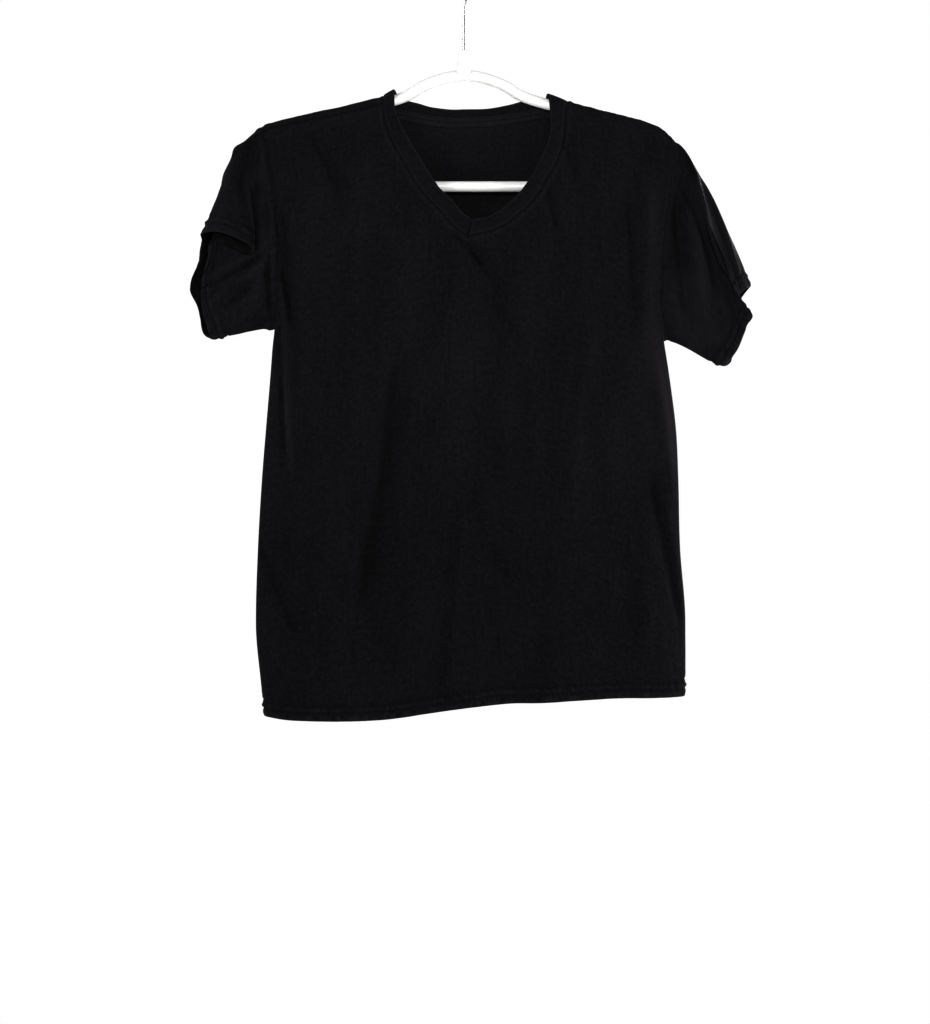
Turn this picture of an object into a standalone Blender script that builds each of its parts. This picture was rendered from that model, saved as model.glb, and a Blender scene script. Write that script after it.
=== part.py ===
"""A v-neck t-shirt on a tubular clothes hanger, as solids in metres, +Z up.

The front faces -Y. The origin is where a closet rod touches the inside top of the hook. Sizes below are
millimetres; "down" is a depth below the origin. The cloth's outer face is one function, place(x, arc):
arc is the length of cloth from the ridge of the shoulders, negative down the front, positive down the back.
"""

from collections import namedtuple
from math import cos, pi, radians, sin, tan

import bmesh
import bpy
import numpy as np

MM = 0.001
SEAM = 0.3            # room between two pieces at a seam
NEAR = 1e-6           # two stations closer than this are the same
SHARP = radians(40)   # an edge sharper than this is shaded hard

# Cloth
JERSEY = 1.2          # wall of the body and sleeves
HEM_WALL = 2.2        # turned hem, two layers
HEM_TURN = 18.0
RIB_WALL = 2.0
RIB_PROUD = 0.75      # the rib stands above the jersey
RIB_BULGE = 0.8       # its middle stands above the line from its seam to its edge by a quarter of this
POINT_ROOM = 0.8      # the V of the body is this much deeper than the rib's mitre
TAPE_WALL, TAPE_WIDE = 1.0, 11.3
TAPE_UP = 3.0         # the tape starts this far above the back neck's seam

# Hanger
TUBE = 5.6            # radius of the plastic tube
TUBE_SIDES = 12
ARM_SLOPE = radians(14.4)
ARM_X, ARM_DOWN = 93.5, 157.4     # a point of each arm's centre line
BAR_DOWN = 242.3
END_BEND = 30.4       # radius of the tube at each end
HUMP = ((0, 125.5), (12, 126.6), (29, 131.0), (44, 137.2), (59, 146.6), (75, 152.5))    # centre line: x, down
HUMP_X = (0, 12, 22, 31, 39, 47, 56, 66, 78)      # where the tube bends over it
BOSS_TOP, BOSS_RADIUS, BOSS_BORE = 99.8, 6.3, 2.2
BOSS_FOOT, BORE_DEEP, SHANK_IN = 126.0, 14.0, 13.0      # foot's depth; bore and shank below the boss's top
BOSS_SIDES, BORE_SIDES = 16, 12
END_STEPS = 10        # stretches of the tube round each end
WIRE = 1.8            # radius of the hook's wire
WIRE_SIDES = 8
BEND_STEPS, LOOP_STEPS = 6, 24
LOOP = 21.0           # hook's loop, to the middle of the wire
NECK_BEND = 28.8      # bend that leads from the shank into the loop
LOOP_START, LOOP_END = radians(35.3), radians(285.0)   # from the bottom of the loop, towards +X

# How the cloth lies on the tube
DRAPE = TUBE + 0.5 + JERSEY       # radius of the cloth's outer face over the tube
SPREAD = 60.0         # length over which the cloth leaves the tube for its own depth
RIM = 23.0            # half of the armhole's width, front to back
TIP_LEFT, TIP_RIGHT = 178.5, 191.5        # down, at the shoulder tips
ARMPIT_LEFT, ARMPIT_RIGHT = 393.0, 405.0  # down
ROLL_TIP, ROLL_NECK = 10.3, 13.3  # how far the left shoulder seam has rolled to the front

Section = namedtuple("Section", "down left right front back")
SECTIONS = (
    Section(150, -211.0, 219.0, 10, 10),
    Section(180, -211.0, 219.0, 12.5, 12),
    Section(207, -206.0, 220.5, 15, 14),
    Section(245, -200.0, 213.5, 18.5, 17),
    Section(314, -195.0, 206.5, 25, 22),
    Section(360, -195.5, 205.5, 29.5, 25.5),
    Section(393, -199.5, 208.5, 32.5, 28),
    Section(446, -203.7, 216.3, 35, 30.5),
    Section(497, -208.0, 222.6, 36, 32),
    Section(547, -212.0, 225.0, 36, 33),
    Section(620, -216.3, 226.8, 37, 34),
    Section(700, -218.6, 232.4, 38, 34),
    Section(761, -213.5, 232.2, 38, 34),
    Section(800, -209.0, 229.5, 37, 33),
)

Ridge = namedtuple("Ridge", "x down")
RIDGE = (
    Ridge(-212, 178.5), Ridge(-193, 172.8), Ridge(-160, 165.0), Ridge(-135, 159.7), Ridge(-110, 153.8),
    Ridge(-93, 149.3), Ridge(-72, 143.8), Ridge(-40, 136.8), Ridge(0, 133.0), Ridge(40, 136.8),
    Ridge(72, 143.8), Ridge(93, 149.4), Ridge(135, 160.3), Ridge(181, 172.0), Ridge(199, 177.6),
    Ridge(206, 181.2), Ridge(213, 186.8), Ridge(220, 193.0),
)

Hem = namedtuple("Hem", "share down")     # share of the width, from the left side seam
HEMS = (
    Hem(0.0, 798.0), Hem(0.05, 800.6), Hem(0.10, 801.3), Hem(0.18, 801.2), Hem(0.30, 798.5),
    Hem(0.40, 792.0), Hem(0.50, 786.0), Hem(0.58, 782.2), Hem(0.66, 781.6), Hem(0.75, 779.2),
    Hem(0.85, 777.2), Hem(0.92, 777.6), Hem(1.0, 777.2),
)

# The neck, from the point of the V up the left front, round the back and down the right front.
# seam is where the rib is sewn on, edge is its free edge; lift is how far the edge stands off the cloth;
# steps is how many stretches lead to the next row, more where the rib bends over the tube.
Neck = namedtuple("Neck", "side seam_x seam_down edge_x edge_down lift steps")
NECK = (
    Neck("front", 3.0, 296.5, 7.7, 279.5, 0.0, 1),
    Neck("front", -12.0, 284.4, -2.1, 271.4, 0.5, 1),
    Neck("front", -25.0, 269.3, -12.5, 259.1, 0.5, 1),
    Neck("front", -38.1, 255.8, -25.6, 246.1, 0.5, 1),
    Neck("front", -49.0, 242.1, -36.0, 230.0, 0.5, 1),
    Neck("front", -61.6, 219.9, -48.6, 209.9, 0.5, 1),
    Neck("front", -73.6, 199.3, -59.6, 190.8, 0.5, 1),
    Neck("front", -81.2, 178.3, -67.5, 174.7, 0.5, 1),
    Neck("front", -84.2, 164.5, -72.0, 161.5, 0.5, 1),
    Neck("front", -84.5, 156.7, -72.8, 153.0, 0.8, 3),
    Neck("ridge", -83.5, 0.0, -72.0, 0.0, 3.4, 3),
    Neck("back", -79.5, 158.8, -66.5, 151.8, 0.5, 1),
    Neck("back", -73.5, 161.8, -60.0, 151.0, 0.0, 1),
    Neck("back", -61.0, 164.5, -49.0, 153.4, 0.0, 1),
    Neck("back", -37.0, 168.8, -32.0, 157.8, 0.0, 1),
    Neck("back", -8.0, 171.0, -7.0, 159.8, 0.0, 1),
    Neck("back", 24.0, 169.8, 22.0, 159.2, 0.0, 1),
    Neck("back", 52.0, 166.5, 46.0, 155.4, 0.0, 1),
    Neck("back", 76.0, 163.0, 63.0, 151.0, 0.0, 1),
    Neck("back", 84.5, 162.2, 69.5, 151.8, 0.0, 1),
    Neck("back", 93.0, 161.6, 76.0, 153.0, 0.0, 1),
    Neck("back", 102.8, 161.4, 83.5, 155.6, 0.5, 3),
    Neck("ridge", 108.0, 0.0, 86.5, 0.0, 3.0, 3),
    Neck("front", 106.2, 164.0, 89.4, 157.8, 0.8, 1),
    Neck("front", 104.5, 182.6, 90.3, 178.4, 0.5, 1),
    Neck("front", 102.1, 201.8, 87.6, 195.6, 0.5, 1),
    Neck("front", 94.9, 219.9, 80.6, 213.6, 0.5, 1),
    Neck("front", 85.8, 236.8, 71.9, 229.9, 0.5, 1),
    Neck("front", 77.1, 250.6, 63.5, 243.7, 0.5, 1),
    Neck("front", 67.6, 263.3, 55.1, 253.7, 0.5, 1),
    Neck("front", 54.1, 275.2, 43.7, 265.0, 0.5, 1),
    Neck("front", 41.6, 284.8, 34.3, 271.6, 0.5, 1),
    Neck("front", 27.0, 291.0, 23.4, 276.9, 0.5, 1),
    Neck("front", 4.2, 296.5, 9.1, 279.5, 0.0, 1),
)

# Largest folds of the body: a soft ridge (depth above 0) or trough (below 0) between two points.
Fold = namedtuple("Fold", "x0 down0 x1 down1 bow width depth")
FRONT_FOLDS = (
    Fold(-178, 300, -184, 520, 6, 13, 5.0),
    Fold(-196, 400, -190, 540, 0, 12, -3.5),
    Fold(-66, 400, -112, 700, 8, 17, -8.0),
    Fold(-20, 560, -34, 770, 0, 16, -4.0),
    Fold(-2, 300, 44, 420, 4, 13, -6.0),
    Fold(132, 360, 104, 610, -8, 18, 7.5),
    Fold(168, 235, 180, 420, 6, 13, -6.5),
    Fold(190, 250, 196, 370, 0, 12, 3.5),
    Fold(188, 520, 226, 700, 4, 14, -6.5),
    Fold(-160, 130, -128, 250, 0, 14, -3.0),
    Fold(-212, 600, -178, 715, 0, 15, -4.5),
    Fold(50, 560, 52, 770, 6, 18, 3.5),
)
BACK_FOLDS = (
    Fold(-150, 230, -166, 520, 5, 16, -4.5),
    Fold(-90, 420, -104, 770, -6, 18, 5.5),
    Fold(-30, 320, -46, 600, 4, 17, -4.5),
    Fold(26, 500, 34, 780, 5, 18, -5.0),
    Fold(92, 350, 84, 640, -5, 17, 5.5),
    Fold(156, 250, 170, 560, 4, 15, -5.0),
    Fold(150, 620, 176, 780, 0, 15, 4.0),
)

# Fold lines of a sleeve, from the armhole to its hem. share runs round the armhole: 0 at the shoulder seam,
# down the front to 0.5 under the arm, up the back to 1.
Line = namedtuple("Line", "share mid_x mid_y mid_down hem_x hem_y hem_down")
SLEEVE_LEFT = (
    Line(0.020, -243, -19, 229, -256, -34, 294),
    Line(0.050, -231, -27, 240, -237, -43, 301),
    Line(0.080, -222, -33, 253, -217, -44, 313),
    Line(0.105, -224, -27, 260, -223, -36, 317),
    Line(0.140, -236, -19, 262, -257, -28, 304),
    Line(0.200, -232, -23, 286, -266, -28, 321),
    Line(0.290, -232, -27, 318, -273, -28, 355),
    Line(0.380, -231, -24, 350, -272, -23, 376),
    Line(0.450, -229, -13, 380, -268, -11, 393),
    Line(0.500, -229, 0, 395, -266, 0, 402),
    Line(0.550, -231, 12, 383, -275, 9, 396),
    Line(0.640, -237, 22, 346, -281, 18, 370),
    Line(0.740, -244, 25, 306, -291, 27, 346),
    Line(0.850, -246, 21, 266, -282, 25, 316),
    Line(0.920, -250, 12, 240, -277, 13, 300),
    Line(0.975, -251, -4, 227, -275, -13, 293),
)
SLEEVE_RIGHT = (
    Line(0.000, 253, -3, 253, 288, -3, 359),
    Line(0.040, 252, -20, 268, 291, -20, 372),
    Line(0.080, 252, -33, 287, 298, -38, 382),
    Line(0.120, 247, -29, 294, 293, -37, 390),
    Line(0.200, 242, -31, 316, 290, -34, 399),
    Line(0.300, 238, -30, 349, 285, -28, 413),
    Line(0.400, 238, -21, 384, 280, -16, 422.5),
    Line(0.460, 241, -9, 407.5, 278, -6, 427),
    Line(0.500, 243, 0, 417.5, 277, 0, 428),
    Line(0.550, 245, 11, 407.5, 282, 9, 423),
    Line(0.650, 252, 22, 365, 285, 20, 397),
    Line(0.770, 256, 28, 319, 291, 30, 364),
    Line(0.880, 263, 27, 270, 305, 33, 344),
    Line(0.950, 264, 13, 255, 296, 13, 350),
)
Reach = namedtuple("Reach", "x down")     # how a sleeve leaves the shoulder tip
UNDERARM = Reach(12, -5)                  # and the armpit
REACH_LEFT, REACH_RIGHT = Reach(-40, 27), Reach(37, 24)
SLEEVE_LEFT_FOLDS = (
    Fold(-206, 268, -226, 385, 4, 8, 2.5),
    Fold(-222, 345, -262, 360, 0, 8, -2.5),
)
SLEEVE_RIGHT_FOLDS = (
    Fold(222, 228, 234, 392, -6, 8, -4.5),
    Fold(228, 246, 249, 372, 3, 8, 4.0),
    Fold(226, 236, 277, 350, 0, 7, -4.5),
)

# Grid of the cloth
SHOULDER_COLUMNS = (0.0, 0.022, 0.073, 0.185, 0.405, 0.705)    # of the way from a side seam in to the neck
TOP_ROWS, TOP_SPAN = 6, 14.0      # close rows where the cloth bends over the tube
CHEST_ROWS, BODY_ROWS = 8, 8
SLEEVE_ROWS = (0.0, 0.12, 0.28, 0.45, 0.61, 0.75, 0.87, 1.0)
NEW_LINE = 0.006      # a sleeve's fold line nearer than this to a station of the armhole adds none
RIB_STEPS = 3
TAPE_FROM, TAPE_TO = 7, 6         # neck columns that the tape leaves free at each end, where the tube passes


# ---------------------------------------------------------------- curves and the cloth's surface

def ease(t):
    t = np.clip(t, 0.0, 1.0)
    return t * t * (3.0 - 2.0 * t)


def curve(keys, values):
    """A smooth curve through the values, with no overshoot between them."""
    keys, values = np.array(keys, float), np.array(values, float)
    secants = np.diff(values) / np.diff(keys)
    slopes = np.concatenate(([secants[0]], (secants[1:] + secants[:-1]) / 2, [secants[-1]]))
    turning = secants[1:] * secants[:-1] <= 0
    slopes[1:-1][turning] = 0.0

    def at(key):
        key = np.clip(key, keys[0], keys[-1])
        i = np.clip(np.searchsorted(keys, key, side="right") - 1, 0, len(keys) - 2)
        step = keys[i + 1] - keys[i]
        t = (key - keys[i]) / step
        return ((1 + 2 * t) * (1 - t) ** 2 * values[i] + t * (1 - t) ** 2 * step * slopes[i]
                + t * t * (3 - 2 * t) * values[i + 1] + t * t * (t - 1) * step * slopes[i + 1])
    return at


def column(rows, name, key):
    return curve([getattr(row, key) for row in rows], [getattr(row, name) for row in rows])


left_x = column(SECTIONS, "left", "down")
right_x = column(SECTIONS, "right", "down")
front_depth = column(SECTIONS, "front", "down")
back_depth = column(SECTIONS, "back", "down")
ridge_down = column(RIDGE, "down", "x")
hem_down = column(HEMS, "down", "share")

DRAPE_HIGH = DRAPE / cos(ARM_SLOPE)
QUARTER = DRAPE * pi / 2


def drop_of(arc):
    """How far below the ridge the cloth is, at an arc from it."""
    arc = np.abs(arc)
    return np.where(arc < QUARTER, DRAPE_HIGH * (1 - np.cos(arc / DRAPE)), DRAPE_HIGH + arc - QUARTER)


def arc_of(drop):
    return np.where(drop < DRAPE_HIGH, DRAPE * np.arccos(np.clip(1 - drop / DRAPE_HIGH, -1, 1)),
                    drop - DRAPE_HIGH + QUARTER)


def folds_at(folds, x, down):
    total = np.zeros(np.broadcast(x, down).shape)
    for fold in folds:
        along_x, along_down = fold.x1 - fold.x0, fold.down1 - fold.down0
        length = (along_x ** 2 + along_down ** 2) ** 0.5
        t = ((x - fold.x0) * along_x + (down - fold.down0) * along_down) / length ** 2
        off = ((x - fold.x0) * along_down - (down - fold.down0) * along_x) / length
        off = off - fold.bow * 4 * t * (1 - t)
        total = total + fold.depth * np.exp(-(off / fold.width) ** 2) * ease(4 * t) * ease(4 * (1 - t))
    return total


def place(x, arc):
    """A point of the cloth's outer face."""
    x, arc = np.broadcast_arrays(np.asarray(x, float), np.asarray(arc, float))
    drop = drop_of(arc)
    down = ridge_down(x) + drop
    left, right = left_x(down), right_x(down)
    share = np.clip((x - left) / (right - left), 0.0, 1.0)
    across = np.abs(2 * share - 1)
    tip = TIP_LEFT + share * (TIP_RIGHT - TIP_LEFT)
    armpit = ARMPIT_LEFT + share * (ARMPIT_RIGHT - ARMPIT_LEFT)
    level = np.clip((down - tip) / (armpit - tip), 0.0, 1.0)
    rim = RIM * np.sin(pi * level) ** 0.6
    soft = 1 - across ** 3
    profile = soft + (np.sqrt(soft) - soft) * ease((level - 0.7) / 0.3)
    middle = np.where(arc < 0, front_depth(down), back_depth(down))
    depth = rim + (middle - rim) * profile
    depth = DRAPE + (depth - DRAPE) * ease(drop / SPREAD)
    inside = np.minimum(share, 1 - share) * (right - left)
    fold = np.where(arc < 0, folds_at(FRONT_FOLDS, x, down), folds_at(BACK_FOLDS, x, down))
    depth = depth + fold * ease(inside / 40) * ease((drop - 12) / 50)
    turn = np.where(np.abs(arc) < QUARTER, np.sin(np.abs(arc) / DRAPE), 1.0)
    return np.stack([x, np.sign(arc) * depth * turn, -down], -1)


def x_at(share, arc):
    """The x of a column of cloth, a fixed share of the width, at an arc."""
    x = left_x(TIP_LEFT) + share * (right_x(TIP_LEFT) - left_x(TIP_LEFT))
    for _ in range(4):
        down = ridge_down(x) + drop_of(arc)
        x = left_x(down) + share * (right_x(down) - left_x(down))
    return x


def unit(v):
    return v / np.maximum(np.linalg.norm(v, axis=-1, keepdims=True), 1e-9)


def normal_at(x, arc):
    """The way out of the cloth."""
    step = 0.1
    across = place(x + step, arc) - place(x - step, arc)
    along = place(x, arc + step) - place(x, arc - step)
    return unit(np.cross(across, along))


def arc_to(share, down, side):
    """The signed arc at which a column reaches a depth."""
    x = left_x(down) + share * (right_x(down) - left_x(down))
    return side * arc_of(down - ridge_down(x))


# ---------------------------------------------------------------- the neck

def neck_stations():
    """x and arc of the rib's seam and edge, and its lift, at each station round the neck."""
    sign = {"front": -1, "ridge": 0, "back": 1}
    rows = []
    for row in NECK:
        side = sign[row.side]
        seam = side * arc_of(row.seam_down - ridge_down(row.seam_x))
        edge = side * arc_of(row.edge_down - ridge_down(row.edge_x))
        rows.append((row.seam_x, seam, row.edge_x, edge, row.lift))
    index = np.arange(len(rows))
    curves = [curve(index, values) for values in np.array(rows, float).T]
    at = [0.0]
    for i in range(len(rows) - 1):
        steps = NECK[i].steps
        at += [i + (k + 1) / steps for k in range(steps)]
    at = np.array(at)
    return at, np.stack([c(at) for c in curves], -1)


STATION, STATIONS = neck_stations()
ROLLED = [row.side for row in NECK].index("ridge") - 1    # the left shoulder seam meets the neck here
NECK_RIGHT = len(NECK) - 1 - [row.side for row in NECK][::-1].index("ridge")


def share_at(x, arc):
    down = ridge_down(x) + drop_of(arc)
    return (x - left_x(down)) / (right_x(down) - left_x(down))


def columns_of(side):
    """Share and first arc of each column of a panel, left to right."""
    if side < 0:
        left_part = STATIONS[STATION <= ROLLED + NEAR][::-1]
        right_part = STATIONS[STATION >= NECK_RIGHT - NEAR][::-1]
        point = (left_part[-1:] + right_part[:1]) / 2
        point[0, 1] -= POINT_ROOM
        neck = np.concatenate([left_part[:-1], point, right_part[1:]])
    else:
        neck = STATIONS[(STATION >= ROLLED - NEAR) & (STATION <= NECK_RIGHT + NEAR)]
    shares = share_at(neck[:, 0], neck[:, 1])
    first, last = shares[0], shares[-1]
    left_shares = [way * first for way in SHOULDER_COLUMNS]
    right_shares = [1 - way * (1 - last) for way in SHOULDER_COLUMNS][::-1]
    roll = [ROLL_TIP + (ROLL_NECK - ROLL_TIP) * share / first for share in left_shares]
    shares = np.concatenate([left_shares, shares, right_shares])
    starts = np.concatenate([[-r for r in roll], neck[:, 1], np.zeros(len(right_shares))])
    return shares, starts, len(left_shares), len(left_shares) + len(neck)


def panel_arcs(side, share, start):
    """The arcs of a column's rows, from its start to the hem."""
    armpit = ARMPIT_LEFT + share * (ARMPIT_RIGHT - ARMPIT_LEFT)
    at_armpit = arc_to(share, armpit, side)
    at_hem = arc_to(share, hem_down(share), side)
    span = max(TOP_SPAN, TOP_SPAN - side * start)
    top = [start + side * span * k / TOP_ROWS for k in range(TOP_ROWS)]
    begin = start + side * span
    chest = [begin + (at_armpit - begin) * k / CHEST_ROWS for k in range(CHEST_ROWS)]
    turn = at_hem - side * HEM_TURN
    body = [at_armpit + (turn - at_armpit) * k / BODY_ROWS for k in range(BODY_ROWS + 1)]
    return np.array(top + chest + body + [at_hem])


ARMPIT_ROW = TOP_ROWS + CHEST_ROWS
LAST_ROW = ARMPIT_ROW + BODY_ROWS + 1


def panel_points(side):
    """The outer and inner points of the front (side -1) or back (side 1), by column and row."""
    shares, starts, neck_from, neck_to = columns_of(side)
    outer, normals = [], []
    for i, (share, start) in enumerate(zip(shares, starts)):
        arcs = panel_arcs(side, share, start)
        if i < neck_from or i >= neck_to:
            arcs[0] += side * SEAM / 2
        x = x_at(share, arcs)
        points, normal = place(x, arcs), normal_at(x, arcs)
        if i in (0, len(shares) - 1):
            out = -1.0 if i == 0 else 1.0
            rows = np.arange(len(arcs))
            normal[:, 0] = 0.0
            normal = unit(normal)
            normal[rows > ARMPIT_ROW] = (out, 0.0, 0.0)
            normal[ARMPIT_ROW] = unit(np.array([out, 0.0, -1.0]))
            points[rows >= ARMPIT_ROW, 1] = side * SEAM / 2
        outer.append(points)
        normals.append(normal)
    outer, normals = np.array(outer), np.array(normals)
    wall = np.where(np.arange(LAST_ROW + 1) >= LAST_ROW - 1, HEM_WALL, JERSEY)
    return outer, outer - normals * wall[None, :, None], normals


# ---------------------------------------------------------------- meshes

def material(name, color, roughness, metallic=0.0):
    made = bpy.data.materials.new(name)
    made.use_nodes = True
    shader = made.node_tree.nodes["Principled BSDF"]
    shader.inputs["Base Color"].default_value = (*color, 1.0)
    shader.inputs["Roughness"].default_value = roughness
    shader.inputs["Metallic"].default_value = metallic
    return made


def add_object(name, points, faces, surface):
    """One closed body, faces pointing out, from points in millimetres."""
    mesh = bpy.data.meshes.new(name)
    mesh.from_pydata([tuple(p) for p in np.asarray(points, float) * MM], [], faces)
    work = bmesh.new()
    work.from_mesh(mesh)
    bmesh.ops.recalc_face_normals(work, faces=work.faces)
    work.to_mesh(mesh)
    work.free()
    mesh.shade_smooth()
    mesh.set_sharp_from_angle(angle=SHARP)
    mesh.materials.append(surface)
    made = bpy.data.objects.new(name, mesh)
    bpy.context.scene.collection.objects.link(made)
    return made


def wall_between(name, outer, inner, surface, ring=False):
    """A wall of cloth between two grids; a ring closes on itself along the first way of the grid."""
    across, along = outer.shape[:2]
    points = np.concatenate([outer.reshape(-1, 3), inner.reshape(-1, 3)])
    half = across * along
    spans = range(across) if ring else range(across - 1)

    def node(i, j, layer):
        return (i % across) * along + j + layer * half

    faces = []
    for i in spans:
        for j in range(along - 1):
            faces.append((node(i, j, 0), node(i + 1, j, 0), node(i + 1, j + 1, 0), node(i, j + 1, 0)))
            faces.append((node(i, j, 1), node(i, j + 1, 1), node(i + 1, j + 1, 1), node(i + 1, j, 1)))
        for j in (0, along - 1):
            faces.append((node(i, j, 0), node(i, j, 1), node(i + 1, j, 1), node(i + 1, j, 0)))
    if not ring:
        for i in (0, across - 1):
            for j in range(along - 1):
                faces.append((node(i, j, 0), node(i, j + 1, 0), node(i, j + 1, 1), node(i, j, 1)))
    return add_object(name, points, faces, surface)


def sweep(name, path, radius, sides, surface, closed=False):
    """A round tube along a path that lies in the XZ plane."""
    path = np.array(path, float)
    if closed:
        ahead, behind = np.roll(path, -1, 0), np.roll(path, 1, 0)
    else:
        ahead = np.vstack([path[1:], path[-1:]])
        behind = np.vstack([path[:1], path[:-1]])
    run = unit(ahead - behind)
    side = np.stack([run[:, 2], np.zeros(len(run)), -run[:, 0]], -1)
    # at a bend the ring is stretched, so that the tube keeps its radius
    before, after = unit(path - behind), unit(ahead - path)
    cosine = np.clip((before * after).sum(-1), -1, 1)
    stretch = 1 / np.sqrt((1 + cosine) / 2)
    if not closed:
        stretch[0] = stretch[-1] = 1.0
    points, faces = [], []
    for at, way, wide in zip(path, side, stretch):
        for k in range(sides):
            turn = 2 * pi * k / sides
            points.append(at + radius * (cos(turn) * wide * way + sin(turn) * np.array([0, 1.0, 0])))
    count = len(path)
    for i in range(count if closed else count - 1):
        for k in range(sides):
            a, b = i * sides, (i + 1) % count * sides
            faces.append((a + k, a + (k + 1) % sides, b + (k + 1) % sides, b + k))
    if not closed:
        faces.append(tuple(range(sides)))
        faces.append(tuple(range((count - 1) * sides, count * sides)))
    return add_object(name, points, faces, surface)


def cylinder(name, radius, top, bottom, sides, surface):
    """An upright cylinder between two depths."""
    return sweep(name, [(0, 0, -bottom), (0, 0, -top)], radius, sides, surface)


def boolean(target, tool, operation):
    """The cut or joint is made at once, and the tool is dropped."""
    cut = target.modifiers.new(operation.title(), "BOOLEAN")
    cut.operation = operation
    cut.solver = "EXACT"
    cut.object = tool
    graph = bpy.context.evaluated_depsgraph_get()
    graph.update()
    mesh = bpy.data.meshes.new_from_object(target.evaluated_get(graph))
    target.modifiers.clear()
    target.data = mesh
    bpy.data.objects.remove(tool)


# ---------------------------------------------------------------- the pieces

def make_panels(jersey):
    grids = {}
    for name, side in (("front_panel", -1), ("back_panel", 1)):
        outer, inner, normals = panel_points(side)
        wall_between(name, outer, inner, jersey)
        grids[side] = (outer, inner, normals)
    return grids


def armhole_ring(grids, at):
    """Outer and inner points round an armhole, from the shoulder seam down the front and up the back."""
    rings = []
    for layer in (0, 1):
        front = grids[-1][layer][at][:ARMPIT_ROW + 1].copy()
        back = grids[1][layer][at][:ARMPIT_ROW + 1]
        front[0] = (front[0] + back[0]) / 2
        front[-1] = (front[-1] + back[-1]) / 2
        rings.append(np.concatenate([front, back[1:-1][::-1]]))
    return rings


def periodic(shares, values):
    """A closed smooth curve through the values, for shares from 0 to 1."""
    shares, values = np.array(shares, float), np.array(values, float)
    reach = 3
    keys = np.concatenate([shares[-reach:] - 1, shares, shares[:reach] + 1])
    return curve(keys, np.concatenate([values[-reach:], values, values[:reach]]))


def sleeve_points(ring_outer, ring_inner, lines, reach, folds, out):
    """A sleeve's outer and inner points, by station round the armhole and row out to the hem."""
    closed = np.vstack([ring_outer, ring_outer[:1]])
    lengths = np.concatenate([[0], np.cumsum(np.linalg.norm(np.diff(closed, axis=0), axis=1))])
    armpit = lengths[ARMPIT_ROW]
    shares = np.where(lengths <= armpit, 0.5 * lengths / armpit,
                      0.5 + 0.5 * (lengths - armpit) / (lengths[-1] - armpit))
    extra = [line.share for line in lines if np.min(np.abs(shares - line.share)) > NEW_LINE]
    stations = np.sort(np.concatenate([shares[:-1], extra]))
    closed_inner = np.vstack([ring_inner, ring_inner[:1]])
    start = np.stack([np.interp(stations, shares, closed[:, k]) for k in range(3)], -1)
    start_inner = np.stack([np.interp(stations, shares, closed_inner[:, k]) for k in range(3)], -1)
    gap = np.array([out * SEAM, 0.0, 0.0])
    start, start_inner = start + gap, start_inner + gap

    def through(names):
        keys = [line.share for line in lines]
        found = [periodic(keys, [getattr(line, name) for line in lines])(stations) for name in names]
        return np.stack([found[0], found[1], -found[2]], -1)

    middle = through(("mid_x", "mid_y", "mid_down"))
    hem = through(("hem_x", "hem_y", "hem_down"))
    # the first handle is long at the shoulder tip and short under the arm
    top = (0.5 + 0.5 * np.cos(2 * pi * stations)) ** 2
    handle = np.stack([out * (UNDERARM.x + (abs(reach.x) - UNDERARM.x) * top), np.zeros(len(top)),
                       -reach.down * top - UNDERARM.down * (1 - top)], -1)
    first = start + handle
    second = (middle - 0.125 * (start + hem) - 0.375 * first) / 0.375
    rows = []
    for w in SLEEVE_ROWS:
        v = 1 - w
        rows.append(v ** 3 * start + 3 * v * v * w * first + 3 * v * w * w * second + w ** 3 * hem)
    outer = np.stack(rows, 1)
    round_way = np.roll(outer, -1, 0) - np.roll(outer, 1, 0)
    out_way = np.gradient(outer, axis=1)
    normals = unit(np.cross(round_way, out_way)) * out
    along = ease(4 * np.array(SLEEVE_ROWS))[None, :]
    facing = ease(-2 * normals[..., 1])
    outer = outer + normals * (folds_at(folds, outer[..., 0], -outer[..., 2]) * facing * along)[..., None]
    wall = np.where(np.arange(len(SLEEVE_ROWS)) >= len(SLEEVE_ROWS) - 2, HEM_WALL, JERSEY)
    inner = outer - normals * wall[None, :, None]
    inner[:, 0] = start_inner
    return outer, inner


def make_sleeves(grids, jersey):
    sleeves = (
        ("sleeve_left", 0, SLEEVE_LEFT, REACH_LEFT, SLEEVE_LEFT_FOLDS, -1),
        ("sleeve_right", -1, SLEEVE_RIGHT, REACH_RIGHT, SLEEVE_RIGHT_FOLDS, 1),
    )
    for name, at, lines, reach, folds, out in sleeves:
        ring_outer, ring_inner = armhole_ring(grids, at)
        outer, inner = sleeve_points(ring_outer, ring_inner, lines, reach, folds, out)
        wall_between(name, outer, inner, jersey, ring=True)


def make_rib(rib):
    """One strip round the neck, with the mitre of the V open by a seam's room."""
    seam_x, seam_arc, edge_x, edge_arc, lift = STATIONS.T
    seam, seam_normal = place(seam_x, seam_arc), normal_at(seam_x, seam_arc)
    edge, edge_normal = place(edge_x, edge_arc), normal_at(edge_x, edge_arc)
    edge = edge + edge_normal * (lift + RIB_PROUD)[:, None]
    inward = edge - seam
    inward = unit(inward - (inward * seam_normal).sum(-1, keepdims=True) * seam_normal)
    seam = seam + inward * SEAM + seam_normal * RIB_PROUD
    rows, normals = [], []
    for k in range(RIB_STEPS + 1):
        w = k / RIB_STEPS
        normal = unit(seam_normal * (1 - w) + edge_normal * w)
        rows.append(seam * (1 - w) + edge * w + normal * RIB_BULGE * w * (1 - w))
        normals.append(normal)
    outer, normals = np.stack(rows, 1), np.stack(normals, 1)
    wall_between("neck_rib", outer, outer - normals * RIB_WALL, rib)


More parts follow.
